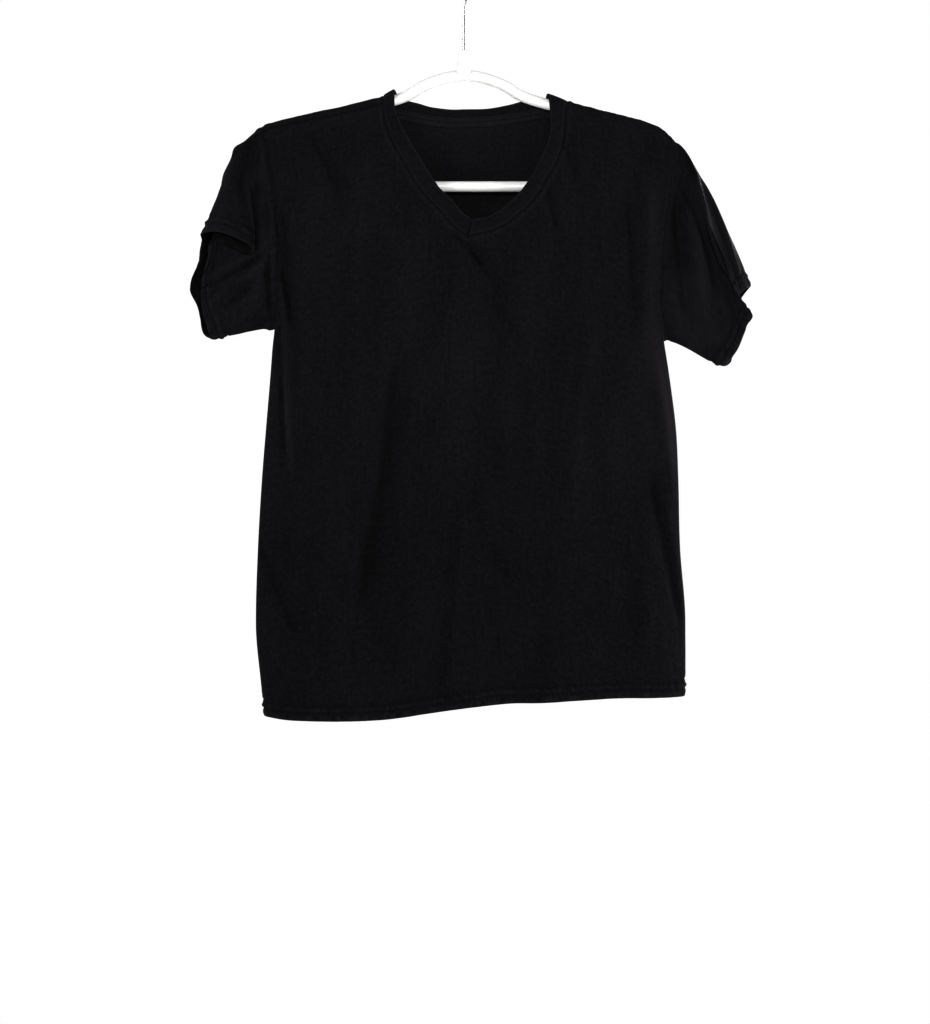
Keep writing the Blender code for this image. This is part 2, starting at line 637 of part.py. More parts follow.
def make_tape(grids, tape):
    """The tape inside the back neck: the panel's own points, moved in, and one row above them on the rib."""
    _, inner, normals = grids[1]
    _, _, neck_from, neck_to = columns_of(1)
    columns = slice(neck_from + TAPE_FROM, neck_to - TAPE_TO)
    spacing = TOP_SPAN / TOP_ROWS
    whole = int((TAPE_WIDE - TAPE_UP) / spacing)
    part = (TAPE_WIDE - TAPE_UP) / spacing - whole
    rows, ways = inner[columns, :whole + 2], normals[columns, :whole + 2]
    above = rows[:, 0] + unit(rows[:, 0] - rows[:, 1]) * TAPE_UP - ways[:, 0] * SEAM / 2
    last = rows[:, whole] * (1 - part) + rows[:, whole + 1] * part
    facing = np.stack([above, *(rows[:, k] for k in range(whole + 1)), last], 1)
    ways = np.concatenate([ways[:, :1], ways], 1)
    facing = facing - ways * SEAM
    wall_between("back_neck_tape", facing, facing - ways * TAPE_WALL, tape)


def arm_path():
    """Right half of the hanger's centre line, from the top of the hump to the middle of the bar."""
    hump = curve(*zip(*HUMP, (ARM_X, ARM_DOWN)))
    path = [(x, hump(x)) for x in (*HUMP_X, ARM_X)]
    bend_down = BAR_DOWN - END_BEND
    bend_x = ARM_X + (bend_down - END_BEND / cos(ARM_SLOPE) - ARM_DOWN) / tan(ARM_SLOPE)
    for k in range(END_STEPS + 1):
        turn = ARM_SLOPE + (pi - ARM_SLOPE) * k / END_STEPS
        path.append((bend_x + END_BEND * sin(turn), bend_down - END_BEND * cos(turn)))
    path.append((0.0, BAR_DOWN))
    return [(float(x), 0.0, -float(down)) for x, down in path]


def make_hanger(plastic):
    right = arm_path()
    left = [(-x, y, z) for x, y, z in right[1:-1]][::-1]
    frame = sweep("hanger", right + left, TUBE, TUBE_SIDES, plastic, closed=True)
    boss = cylinder("boss", BOSS_RADIUS, BOSS_TOP, BOSS_FOOT, BOSS_SIDES, plastic)
    boolean(frame, boss, "UNION")
    bore = cylinder("bore", BOSS_BORE, BOSS_TOP - BORE_DEEP, BOSS_TOP + BORE_DEEP, BORE_SIDES, plastic)
    boolean(frame, bore, "DIFFERENCE")
    frame.data.shade_smooth()
    frame.data.set_sharp_from_angle(angle=SHARP)


def make_hook(steel):
    """Shank, bend and loop of one wire; its lower end stands in the boss."""
    centre = WIRE - LOOP
    start_down = -(centre - LOOP * cos(LOOP_START)) + NECK_BEND * sin(pi / 2 - LOOP_START)
    path = [(0.0, 0.0, -(BOSS_TOP + SHANK_IN)), (0.0, 0.0, -BOSS_TOP), (0.0, 0.0, -start_down)]
    for k in range(1, BEND_STEPS + 1):
        turn = (pi / 2 - LOOP_START) * k / BEND_STEPS
        path.append((NECK_BEND * (1 - cos(turn)), 0.0, -start_down + NECK_BEND * sin(turn)))
    for k in range(1, LOOP_STEPS + 1):
        turn = LOOP_START + (LOOP_END - LOOP_START) * k / LOOP_STEPS
        path.append((LOOP * sin(turn), 0.0, centre - LOOP * cos(turn)))
    sweep("hanger_hook", path, WIRE, WIRE_SIDES, steel)


def main():
    for old in list(bpy.data.objects):
        bpy.data.objects.remove(old, do_unlink=True)
    jersey = material("jersey", (0.012, 0.011, 0.013), 0.95)
    rib = material("rib", (0.011, 0.010, 0.012), 0.95)
    tape = material("tape", (0.016, 0.015, 0.017), 0.95)
    plastic = material("hanger_plastic", (0.86, 0.86, 0.84), 0.3)
    steel = material("hook_steel", (0.62, 0.62, 0.63), 0.3, 1.0)
    grids = make_panels(jersey)
    make_sleeves(grids, jersey)
    make_rib(rib)
    make_tape(grids, tape)
    make_hanger(plastic)
    make_hook(steel)


main()
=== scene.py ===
"""The look of a v-neck t-shirt on a tubular clothes hanger: cloth, seams, stitching, finishes, light, camera.

Sizes are millimetres unless a name says otherwise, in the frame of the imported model: +Z up, the front
faces -Y, and the origin is where a closet rod touches the inside top of the hook. "down" is a depth below
the origin. The cloth's outer face is place(x, arc): arc is the length of cloth from the ridge of the
shoulders, negative down the front and positive down the back.
"""

from collections import namedtuple
from math import cos, pi, radians, sin, tan

import bmesh
import bpy
import numpy as np
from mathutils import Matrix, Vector, noise


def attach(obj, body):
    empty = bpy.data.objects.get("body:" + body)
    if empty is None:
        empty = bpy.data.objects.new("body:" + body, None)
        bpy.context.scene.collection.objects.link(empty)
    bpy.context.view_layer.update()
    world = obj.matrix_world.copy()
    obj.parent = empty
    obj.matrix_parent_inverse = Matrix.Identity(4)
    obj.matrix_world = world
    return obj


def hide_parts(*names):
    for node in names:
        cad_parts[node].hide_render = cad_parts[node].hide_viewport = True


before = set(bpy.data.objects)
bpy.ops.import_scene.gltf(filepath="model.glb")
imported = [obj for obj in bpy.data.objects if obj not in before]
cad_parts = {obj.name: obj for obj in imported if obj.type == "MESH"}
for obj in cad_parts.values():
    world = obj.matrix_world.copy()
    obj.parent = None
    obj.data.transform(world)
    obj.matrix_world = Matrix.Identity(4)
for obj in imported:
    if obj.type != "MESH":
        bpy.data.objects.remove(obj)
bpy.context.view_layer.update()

MM = 0.001
TINY = 1e-6

# Cloth
JERSEY = 1.2          # wall of the body and sleeves
HEM_WALL = 2.2        # turned hem, two layers
HEM_TURN = 18.0
HEM_ROUND = 1.1       # how far up a hem its edge is rounded
RIB_WALL = 2.0
RIB_PROUD = 0.75      # the rib stands above the jersey
POINT_ROOM = 0.8      # the V of the body is this much deeper than the rib's mitre
TAPE_WALL, TAPE_WIDE = 1.0, 11.3
TAPE_UP = 3.0         # the tape starts this far above the back neck's seam

# Hanger
TUBE, TUBE_SIDES = 5.6, 40        # radius of the plastic tube
PARTING = 0.12        # height of the mould's line on it
ARM_SLOPE = radians(14.4)
ARM_X, ARM_DOWN = 93.5, 157.4     # a point of each arm's centre line
BAR_DOWN = 242.3
END_BEND = 30.4       # radius of the tube at each end
BOSS_TOP, BOSS_RADIUS = 99.8, 6.3
SOCKET_SIDES = 48
WIRE, WIRE_SIDES = 1.8, 20        # radius of the hook's wire
SHANK_IN = 7.0        # how far the wire stands in the socket
LOOP = 21.0           # hook's loop, to the middle of the wire
NECK_BEND = 28.8      # bend that leads from the shank into the loop
LOOP_START, LOOP_END = radians(35.3), radians(285.0)   # from the bottom of the loop, towards +X

# How the cloth lies on the tube
DRAPE = TUBE + 0.5 + JERSEY       # radius of the cloth's outer face over the tube
SPREAD = 60.0         # length over which the cloth leaves the tube for its own depth
RIM = 23.0            # half of the armhole's width, front to back
TIP_LEFT, TIP_RIGHT = 178.5, 191.5        # down, at the shoulder tips
ARMPIT_LEFT, ARMPIT_RIGHT = 393.0, 405.0  # down
ROLL_TIP, ROLL_NECK = 10.3, 13.3  # how far the left shoulder seam has rolled to the front

Section = namedtuple("Section", "down left right front back")
SECTIONS = (
    Section(150, -211.0, 219.0, 10, 10),
    Section(180, -211.0, 219.0, 12.5, 12),
    Section(207, -206.0, 220.5, 15, 14),
    Section(245, -200.0, 213.5, 18.5, 17),
    Section(314, -195.0, 206.5, 25, 22),
    Section(360, -195.5, 205.5, 29.5, 25.5),
    Section(393, -199.5, 208.5, 32.5, 28),
    Section(446, -203.7, 216.3, 35, 30.5),
    Section(497, -208.0, 222.6, 36, 32),
    Section(547, -212.0, 225.0, 36, 33),
    Section(620, -216.3, 226.8, 37, 34),
    Section(700, -218.6, 232.4, 38, 34),
    Section(761, -213.5, 232.2, 38, 34),
    Section(800, -209.0, 229.5, 37, 33),
)

Ridge = namedtuple("Ridge", "x down")
RIDGE = (
    Ridge(-212, 178.5), Ridge(-193, 172.8), Ridge(-160, 165.0), Ridge(-135, 159.7), Ridge(-110, 153.8),
    Ridge(-93, 149.3), Ridge(-72, 143.8), Ridge(-40, 136.8), Ridge(0, 133.0), Ridge(40, 136.8),
    Ridge(72, 143.8), Ridge(93, 149.4), Ridge(135, 160.3), Ridge(181, 172.0), Ridge(199, 177.6),
    Ridge(206, 181.2), Ridge(213, 186.8), Ridge(220, 193.0),
)

Hem = namedtuple("Hem", "share down")     # share of the width, from the left side seam
HEMS = (
    Hem(0.0, 798.0), Hem(0.05, 800.6), Hem(0.10, 801.3), Hem(0.18, 801.2), Hem(0.30, 798.5),
    Hem(0.40, 792.0), Hem(0.50, 786.0), Hem(0.58, 782.2), Hem(0.66, 781.6), Hem(0.75, 779.2),
    Hem(0.85, 777.2), Hem(0.92, 777.6), Hem(1.0, 777.2),
)

# The neck, from the point of the V up the left front, round the back and down the right front.
# seam is where the rib is sewn on, edge is its free edge; lift is how far the edge stands off the cloth.
Neck = namedtuple("Neck", "side seam_x seam_down edge_x edge_down lift")
NECK = (
    Neck("front", 3.0, 296.5, 7.7, 279.5, 0.0),
    Neck("front", -12.0, 284.4, -2.1, 271.4, 0.5),
    Neck("front", -25.0, 269.3, -12.5, 259.1, 0.5),
    Neck("front", -38.1, 255.8, -25.6, 246.1, 0.5),
    Neck("front", -49.0, 242.1, -36.0, 230.0, 0.5),
    Neck("front", -61.6, 219.9, -48.6, 209.9, 0.5),
    Neck("front", -73.6, 199.3, -59.6, 190.8, 0.5),
    Neck("front", -81.2, 178.3, -67.5, 174.7, 0.5),
    Neck("front", -84.2, 164.5, -72.0, 161.5, 0.5),
    Neck("front", -84.5, 156.7, -72.8, 153.0, 0.8),
    Neck("ridge", -83.5, 0.0, -72.0, 0.0, 3.4),
    Neck("back", -79.5, 158.8, -66.5, 151.8, 0.5),
    Neck("back", -73.5, 161.8, -60.0, 151.0, 0.0),
    Neck("back", -61.0, 164.5, -49.0, 153.4, 0.0),
    Neck("back", -37.0, 168.8, -32.0, 157.8, 0.0),
    Neck("back", -8.0, 171.0, -7.0, 159.8, 0.0),
    Neck("back", 24.0, 169.8, 22.0, 159.2, 0.0),
    Neck("back", 52.0, 166.5, 46.0, 155.4, 0.0),
    Neck("back", 76.0, 163.0, 63.0, 151.0, 0.0),
    Neck("back", 84.5, 162.2, 69.5, 151.8, 0.0),
    Neck("back", 93.0, 161.6, 76.0, 153.0, 0.0),
    Neck("back", 102.8, 161.4, 83.5, 155.6, 0.5),
    Neck("ridge", 108.0, 0.0, 86.5, 0.0, 3.0),
    Neck("front", 106.2, 164.0, 89.4, 157.8, 0.8),
    Neck("front", 104.5, 182.6, 90.3, 178.4, 0.5),
    Neck("front", 102.1, 201.8, 87.6, 195.6, 0.5),
    Neck("front", 94.9, 219.9, 80.6, 213.6, 0.5),
    Neck("front", 85.8, 236.8, 71.9, 229.9, 0.5),
    Neck("front", 77.1, 250.6, 63.5, 243.7, 0.5),
    Neck("front", 67.6, 263.3, 55.1, 253.7, 0.5),
    Neck("front", 54.1, 275.2, 43.7, 265.0, 0.5),
    Neck("front", 41.6, 284.8, 34.3, 271.6, 0.5),
    Neck("front", 27.0, 291.0, 23.4, 276.9, 0.5),
    Neck("front", 4.2, 296.5, 9.1, 279.5, 0.0),
)
TAPE_ROWS, TAPE_STATIONS = (12, 19), 500      # the tape lies between these rows of the neck

# A fold is a soft ridge (depth above 0) or trough (below 0) between two points. It is wider on its right
# side, looking from its first point to its second, where lean is above 0.
Fold = namedtuple("Fold", "x0 down0 x1 down1 bow width depth lean", defaults=(0.0,))
FRONT_FOLDS = (
    Fold(-178, 300, -184, 520, 6, 13, 5.0),
    Fold(-196, 400, -190, 540, 0, 12, -3.5),
    Fold(-66, 400, -112, 700, 8, 17, -8.0),
    Fold(-20, 560, -34, 770, 0, 16, -4.0),
    Fold(-2, 300, 44, 420, 4, 13, -6.0),
    Fold(132, 360, 104, 610, -8, 18, 7.5),
    Fold(168, 235, 180, 420, 6, 13, -6.5),
    Fold(190, 250, 196, 370, 0, 12, 3.5),
    Fold(188, 520, 226, 700, 4, 14, -6.5),
    Fold(-160, 130, -128, 250, 0, 14, -3.0),
    Fold(-212, 600, -178, 715, 0, 15, -4.5),
    Fold(50, 560, 52, 770, 6, 18, 3.5),
)
FRONT_CREASES = (
    # beside the left armhole and down the left side
    Fold(-200, 292, -176, 408, 1, 2.9, -5.4, 0.4),
    Fold(-189, 340, -177, 566, -1, 2.8, 4.4),
    Fold(-195, 344, -185, 548, -1, 2.6, -4.4),
    Fold(-197, 244, -179, 380, -3, 5.0, -3.2, 0.3),
    Fold(-187, 262, -170, 360, -2, 5.5, 1.8),
    Fold(-167, 328, -158, 396, 0, 4.5, -2.0),
    Fold(-178, 486, -170, 612, 4, 7.0, 1.7),
    Fold(-219, 604, -172, 720, 1, 4.6, -4.6, 0.3),
    Fold(-222, 628, -178, 742, 2, 5.5, 2.2),
    Fold(-197, 562, -176, 650, 2, 5.0, -2.0),
    Fold(-188, 420, -196, 470, 0, 4.0, 1.2),
    # from the left shoulder
    Fold(-168, 176, -124, 266, 2, 5.4, -4.2, 0.3),
    Fold(-156, 172, -108, 262, 2, 6.5, 2.2),
    Fold(-178, 186, -150, 250, 2, 6.0, 1.3),
    Fold(-130, 166, -126, 224, 0, 4.5, -1.9),
    Fold(-143, 164, -130, 206, 0, 4.5, -1.5),
    Fold(-112, 166, -108, 212, 1, 5.0, 1.2),
    # below the point of the V
    Fold(-19, 286, 24, 330, 0, 3.4, -3.6, 0.3),
    Fold(-2, 298, 48, 376, 2, 4.8, -4.4, 0.5),
    Fold(22, 350, 62, 424, 1, 5.2, -3.6, 0.4),
    Fold(-14, 308, 38, 420, 3, 7.5, 2.6),
    Fold(34, 392, 74, 498, 4, 5.0, -2.6),
    Fold(26, 298, 52, 346, 0, 3.8, -1.2),
    Fold(44, 286, 62, 332, 0, 4.2, 1.0),
    # beside the right side of the neck
    Fold(99, 186, 118, 242, 0, 2.8, -2.4, 0.3),
    Fold(108, 182, 130, 250, 1, 4.5, 1.7),
    Fold(80, 230, 98, 298, 2, 2.5, -2.6, 0.3),
    Fold(90, 228, 110, 306, 1, 4.5, 1.5),
    Fold(60, 262, 74, 312, 0, 4.0, -1.4),
    # beside the right armhole
    Fold(167, 222, 178, 400, 3, 3.0, -2.6, -0.3),
    Fold(175, 200, 184, 340, 2, 2.6, -2.4),
    Fold(176, 226, 188, 400, 3, 5.5, 2.6),
    Fold(190, 226, 195, 376, 1, 4.5, 2.4),
    Fold(183, 244, 189, 330, 1, 3.5, -1.6),
    Fold(147, 220, 157, 350, 2, 6.0, -1.8),
    Fold(136, 216, 144, 330, 2, 7.0, 1.2),
    # down the right side
    Fold(134, 376, 112, 612, -4, 8.0, 2.6),
    Fold(122, 396, 100, 600, -4, 6.0, -1.9),
    Fold(196, 410, 220, 600, 5, 5.0, 3.6, -0.2),
    Fold(184, 424, 206, 560, 5, 5.5, -2.4),
    Fold(186, 524, 228, 722, 2, 4.8, -5.0, 0.3),
    Fold(199, 520, 233, 700, 2, 5.0, 2.2),
    Fold(148, 590, 180, 752, 4, 8.0, -2.2),
    Fold(166, 590, 194, 740, 4, 7.0, 1.6),
    # down the middle
    Fold(-66, 384, -118, 736, 6, 9.5, -6.4, 0.4),
    Fold(-82, 404, -132, 720, 8, 9.0, 2.8),
    Fold(-98, 560, -122, 792, 2, 12.0, -4.4, 0.3),
    Fold(-46, 380, -78, 580, 5, 8.0, 2.0),
    Fold(-12, 556, -14, 660, 1, 4.8, -2.8),
    Fold(-20, 676, -32, 786, 3, 5.2, -3.0),
    Fold(-4, 590, -10, 700, 2, 6.0, 1.4),
    Fold(-4, 536, 54, 672, -5, 5.6, -3.2),
    Fold(14, 540, 66, 650, -5, 6.0, 1.6),
    Fold(16, 448, 34, 580, 2, 7.0, -2.0),
    Fold(30, 440, 48, 560, 2, 7.0, 1.5),
    Fold(74, 600, 70, 784, 3, 8.0, -2.2),
    Fold(96, 620, 104, 780, 3, 7.5, 1.7),
    Fold(-140, 560, -150, 770, -3, 9.0, -1.7),
    Fold(-58, 640, -66, 790, 2, 8.0, 1.7),
)
FRONT_PAINTED_HIGHLIGHTS = (       # painted highlights on the front: beside the right armhole, down the right side and on a ridge at the left; depth is the paleness it adds
    Fold(196, 220, 196, 430, 0, 11, 0.26),
    Fold(198, 372, 220, 560, 2, 12, 0.42),
    Fold(-189, 340, -177, 566, -1, 3.4, 0.28),
)
BACK_FOLDS = (
    Fold(-150, 230, -166, 520, 5, 16, -4.5),
    Fold(-90, 420, -104, 770, -6, 18, 5.5),
    Fold(-30, 320, -46, 600, 4, 17, -4.5),
    Fold(26, 500, 34, 780, 5, 18, -5.0),
    Fold(92, 350, 84, 640, -5, 17, 5.5),
    Fold(156, 250, 170, 560, 4, 15, -5.0),
    Fold(150, 620, 176, 780, 0, 15, 4.0),
)
BACK_CREASES = (
    # across the back inside the neck, seen through it from the front
    Fold(-52, 187, 38, 184, 2, 2.6, -1.1),
    Fold(-30, 196, 60, 194, 1, 2.6, 1.1),
    Fold(-64, 206, 10, 203, 2, 3.0, -1.0),
    Fold(4, 214, 72, 208, 1, 3.0, -1.1),
    Fold(-40, 226, 24, 229, 0, 3.0, 1.0),
    # from the shoulder blades down
    Fold(-152, 236, -170, 420, 5, 6.0, -3.0, 0.3),
    Fold(-166, 250, -184, 402, 3, 6.0, 2.2),
    Fold(-132, 190, -112, 262, 2, 6.0, -2.2),
    Fold(-74, 300, -86, 470, 5, 8.0, -2.0),
    Fold(-98, 470, -112, 742, -5, 7.0, 2.8),
    Fold(-78, 500, -84, 700, -5, 8.0, -2.4),
    Fold(-32, 330, -50, 596, 5, 6.5, -3.0, 0.3),
    Fold(10, 270, 2, 420, 3, 8.0, 1.8),
    Fold(27, 520, 36, 776, 5, 6.5, -3.2, 0.3),
    Fold(52, 560, 60, 760, 4, 8.0, 2.2),
    Fold(90, 380, 80, 630, -5, 7.0, 2.5),
    Fold(112, 330, 104, 500, -3, 7.0, -2.2),
    Fold(158, 262, 172, 470, 5, 6.0, -3.3, -0.3),
    Fold(178, 280, 190, 430, 3, 6.0, 2.2),
    Fold(152, 640, 178, 776, 2, 6.5, 2.4),
    Fold(188, 600, 204, 740, 2, 7.0, -2.4),
    Fold(126, 186, 106, 250, 2, 6.0, -2.1),
)

# Fold lines of a sleeve, from the armhole to its hem. share runs round the armhole: 0 at the shoulder seam,
# down the front to 0.5 under the arm, up the back to 1.
Line = namedtuple("Line", "share mid_x mid_y mid_down hem_x hem_y hem_down")
SLEEVE_LEFT = (
    Line(0.020, -243, -19, 229, -256, -34, 294),
    Line(0.050, -231, -27, 240, -237, -43, 301),
    Line(0.080, -222, -33, 253, -217, -44, 313),
    Line(0.105, -224, -27, 260, -223, -36, 317),
    Line(0.140, -236, -19, 262, -257, -28, 304),
    Line(0.200, -232, -23, 286, -266, -28, 321),
    Line(0.290, -232, -27, 318, -273, -28, 355),
    Line(0.380, -231, -24, 350, -272, -23, 376),
    Line(0.450, -229, -13, 380, -268, -11, 393),
    Line(0.500, -229, 0, 395, -266, 0, 402),
    Line(0.550, -231, 12, 383, -275, 9, 396),
    Line(0.640, -237, 22, 346, -281, 18, 370),
    Line(0.740, -244, 25, 306, -291, 27, 346),
    Line(0.850, -246, 21, 266, -282, 25, 316),
    Line(0.920, -250, 12, 240, -277, 13, 300),
    Line(0.975, -251, -4, 227, -275, -13, 293),
)
SLEEVE_RIGHT = (
    Line(0.000, 253, -3, 253, 288, -3, 359),
    Line(0.040, 252, -20, 268, 291, -20, 372),
    Line(0.080, 252, -33, 287, 298, -38, 382),
    Line(0.120, 247, -29, 294, 293, -37, 390),
    Line(0.200, 242, -31, 316, 290, -34, 399),
    Line(0.300, 238, -30, 349, 285, -28, 413),
    Line(0.400, 238, -21, 384, 280, -16, 422.5),
    Line(0.460, 241, -9, 407.5, 278, -6, 427),
    Line(0.500, 243, 0, 417.5, 277, 0, 428),
    Line(0.550, 245, 11, 407.5, 282, 9, 423),
    Line(0.650, 252, 22, 365, 285, 20, 397),
    Line(0.770, 256, 28, 319, 291, 30, 364),
    Line(0.880, 263, 27, 270, 305, 33, 344),
    Line(0.950, 264, 13, 255, 296, 13, 350),
)
Reach = namedtuple("Reach", "x down")     # how a sleeve leaves the shoulder tip
UNDERARM = Reach(12, -5)                  # and the armpit
REACH_LEFT, REACH_RIGHT = Reach(-40, 27), Reach(37, 24)
SLEEVE_LEFT_FOLDS = (
    Fold(-206, 268, -226, 385, 4, 8, 2.5),
    Fold(-222, 345, -262, 360, 0, 8, -2.5),
)
SLEEVE_LEFT_CREASES = (
    Fold(-220, 188, -233, 258, -2, 4.5, -4.0),
    Fold(-231, 240, -217, 322, 2, 4.2, -3.6, -0.2),
    Fold(-209, 206, -211, 318, -3, 6.0, 2.8),
    Fold(-226, 222, -224, 290, 3, 4.0, 1.6),
    Fold(-206, 312, -196, 402, -2, 3.0, -4.8),
    Fold(-206, 304, -274, 342, 3, 3.2, 2.6),
    Fold(-204, 310, -280, 354, 4, 2.8, -3.4),
    Fold(-206, 320, -276, 368, 4, 3.2, 3.2),
    Fold(-212, 334, -262, 378, 3, 3.0, -2.6),
    Fold(-232, 340, -250, 378, 1, 4.0, -1.4),
    Fold(-222, 352, -236, 388, 1, 4.0, 1.4),
    Fold(-244, 250, -268, 288, 2, 5.0, -1.2),
)
SLEEVE_LEFT_CROWN = (       # where the sleeve stands off the tip, and falls in below it
    Fold(-262, 180, -219, 223, 0, 8.0, 3.8),
    Fold(-252, 228, -277, 302, 0, 10.0, -3.4),
)
SLEEVE_RIGHT_FOLDS = (
    Fold(222, 228, 234, 392, -6, 8, -4.5),
    Fold(228, 246, 249, 372, 3, 8, 4.0),
    Fold(226, 236, 277, 350, 0, 7, -4.5),
)
SLEEVE_RIGHT_CREASES = (
    Fold(221, 232, 240, 410, -7, 3.6, -3.6, 0.2),
    Fold(230, 236, 256, 372, 4, 4.2, 2.8),
    Fold(222, 226, 264, 372, 4, 3.4, -3.6, -0.2),
    Fold(230, 218, 294, 374, 1, 4.6, 2.4),
    Fold(238, 300, 252, 396, 1, 4.0, 1.8),
    Fold(246, 320, 266, 404, 2, 5.5, -1.8),
    Fold(270, 336, 280, 400, 2, 5.0, -1.4),
    Fold(216, 330, 226, 400, 1, 4.0, 1.8),
)
SLEEVES_PAINTED_LIGHT = (           # painted light on the right sleeve in front: highlights where depth is above 0, painted shade on its outer band below 0; depth is the paleness they add
    Fold(222, 324, 258, 424, 0, 26, 0.32),
    Fold(232, 226, 276, 346, 0, 9, 0.14),
    Fold(230, 184, 296, 366, 0, 8, -0.85),
)
SLEEVE_BACK_CREASES = (     # the same on both, behind, for a sleeve on the right
    Fold(226, 240, 262, 400, 4, 5.0, -3.4, 0.2),
    Fold(234, 250, 286, 386, -4, 5.0, 3.0),
    Fold(226, 320, 250, 420, 2, 5.0, -2.4),
    Fold(244, 250, 292, 350, 3, 5.0, -2.0),
)

# Grid of the cloth
NECK_STEP, COLUMN_STEP = 3.2, 1.9
TOP_ROWS, TOP_SPAN = 12, 14.0     # close rows where the cloth bends over the tube
CHEST_ROWS, BODY_ROWS, HEM_ROWS = 78, 72, 24
HEM_ZONE = 30.0                   # close rows above the hem
SLEEVE_ROWS = 84

# Seams
Seam = namedtuple("Seam", "groove groove_wide roll roll_at roll_wide pucker")
SHOULDER_SEAM = Seam(1.1, 1.0, 0.7, 4.0, 2.4, 0.5)
NECK_SEAM = Seam(0.7, 1.1, 0.9, 4.2, 2.0, 0.9)
SIDE_SEAM = Seam(0.0, 1.0, 0.5, 3.0, 2.0, 0.4)
BODY_ARMHOLES = (Seam(1.5, 1.8, 0.4, 6.0, 3.0, 1.2), Seam(0.3, 0.9, 1.1, 2.0, 1.4, 1.0))      # left, right
SLEEVE_ARMHOLES = (Seam(0.0, 1.2, 1.4, 5.0, 3.4, 1.2), Seam(0.0, 2.4, -0.9, 4.0, 2.4, 0.9))
SEAM_WANDER = 1.7     # of an armhole's seam from its even line
STITCH_LINES = (9.0, 15.6)            # twin needle rows, above a hem's edge
STITCH, STITCH_PITCH, THREAD = 2.5, 3.3, 0.26
RIB_PITCH, RIB_HIGH, RIB_WIDE = 1.3, 0.11, 17
# the rib's section: share of the way from seam to edge, and height over the outer face
RIB_SECTION = (
    (0.0, -1.0), (0.012, -0.55), (0.04, -0.18), (0.09, 0.02), (0.16, 0.12), (0.3, 0.2), (0.46, 0.24),
    (0.62, 0.22), (0.76, 0.14), (0.87, 0.02), (0.94, -0.16), (0.98, -0.45), (1.0, -0.9), (0.985, -1.4),
    (0.94, -1.75), (0.85, -1.95), (0.6, -2.0), (0.3, -2.0), (0.0, -2.0),
)
# the tape's: share of its width, and thickness over that of its wall
TAPE_SECTION = (
    (0.0, 0.0), (0.0, 0.3), (0.03, 0.8), (0.08, 1.0), (0.12, 0.95), (0.15, 0.35), (0.19, 0.9), (0.27, 1.25),
    (0.36, 1.3), (0.44, 1.05), (0.48, 0.3), (0.52, 0.9), (0.61, 1.25), (0.72, 1.3), (0.82, 1.15), (0.9, 0.85),
    (0.97, 0.4), (1.0, 0.0),
)

# Wear and painted light, which make cloth paler, and painted shade, which makes it darker: 0 for new cloth, 1
# at most
HEIGHT_WEAR_AND_LIGHT, DEEPEST_TROUGH_SHADE = 0.05, -0.04   # paler for each millimetre that the cloth stands up, as wear and painted highlight, and darker in troughs as painted shade, down to the least of it
LEAST_WEAR_AND_LIGHT = -0.15
PAINTED_LIGHT_INSIDE = 0.12   # painted light on the inner face over the outer, in the body, lifting the shade inside
PAINTED_SHADE_INSIDE = -0.5  # painted shade on the inner face, in the sleeves
PAINTED_SHADE_LOW = 0.12     # painted shade: the body is this much darker near its hem


# ---------------------------------------------------------------- curves and the cloth's surface

def ease(t):
    t = np.clip(t, 0.0, 1.0)
    return t * t * (3.0 - 2.0 * t)


def bell(t):
    return np.exp(-np.square(t))


def unit(v):
    return v / np.maximum(np.linalg.norm(v, axis=-1, keepdims=True), 1e-9)


def curve(keys, values):
    """A smooth curve through the values, with no overshoot between them."""
    keys, values = np.array(keys, float), np.array(values, float)
    secants = np.diff(values) / np.diff(keys)
    slopes = np.concatenate(([secants[0]], (secants[1:] + secants[:-1]) / 2, [secants[-1]]))
    turning = secants[1:] * secants[:-1] <= 0
    slopes[1:-1][turning] = 0.0

    def at(key):
        key = np.clip(key, keys[0], keys[-1])
        i = np.clip(np.searchsorted(keys, key, side="right") - 1, 0, len(keys) - 2)
        step = keys[i + 1] - keys[i]
        t = (key - keys[i]) / step
        return ((1 + 2 * t) * (1 - t) ** 2 * values[i] + t * (1 - t) ** 2 * step * slopes[i]
                + t * t * (3 - 2 * t) * values[i + 1] + t * t * (t - 1) * step * slopes[i + 1])
    return at


def column(rows, name, key):
    return curve([getattr(row, key) for row in rows], [getattr(row, name) for row in rows])


left_x = column(SECTIONS, "left", "down")
right_x = column(SECTIONS, "right", "down")
front_depth = column(SECTIONS, "front", "down")
back_depth = column(SECTIONS, "back", "down")
ridge_down = column(RIDGE, "down", "x")
hem_down = column(HEMS, "down", "share")

DRAPE_HIGH = DRAPE / cos(ARM_SLOPE)
QUARTER = DRAPE * pi / 2


def drop_of(arc):
    """How far below the ridge the cloth is, at an arc from it."""
    arc = np.abs(arc)
    return np.where(arc < QUARTER, DRAPE_HIGH * (1 - np.cos(arc / DRAPE)), DRAPE_HIGH + arc - QUARTER)


def arc_of(drop):
    return np.where(drop < DRAPE_HIGH, DRAPE * np.arccos(np.clip(1 - drop / DRAPE_HIGH, -1, 1)),
                    drop - DRAPE_HIGH + QUARTER)


def folds_at(folds, x, down):
    total = np.zeros(np.broadcast(x, down).shape)
    for fold in folds:
        along_x, along_down = fold.x1 - fold.x0, fold.down1 - fold.down0
        length = (along_x ** 2 + along_down ** 2) ** 0.5
        t = ((x - fold.x0) * along_x + (down - fold.down0) * along_down) / length ** 2
        off = ((x - fold.x0) * along_down - (down - fold.down0) * along_x) / length
        off = off - fold.bow * 4 * t * (1 - t)
        width = fold.width * (1 + fold.lean * np.sign(off))
        total = total + fold.depth * bell(off / width) * ease(4 * t) * ease(4 * (1 - t))
    return total


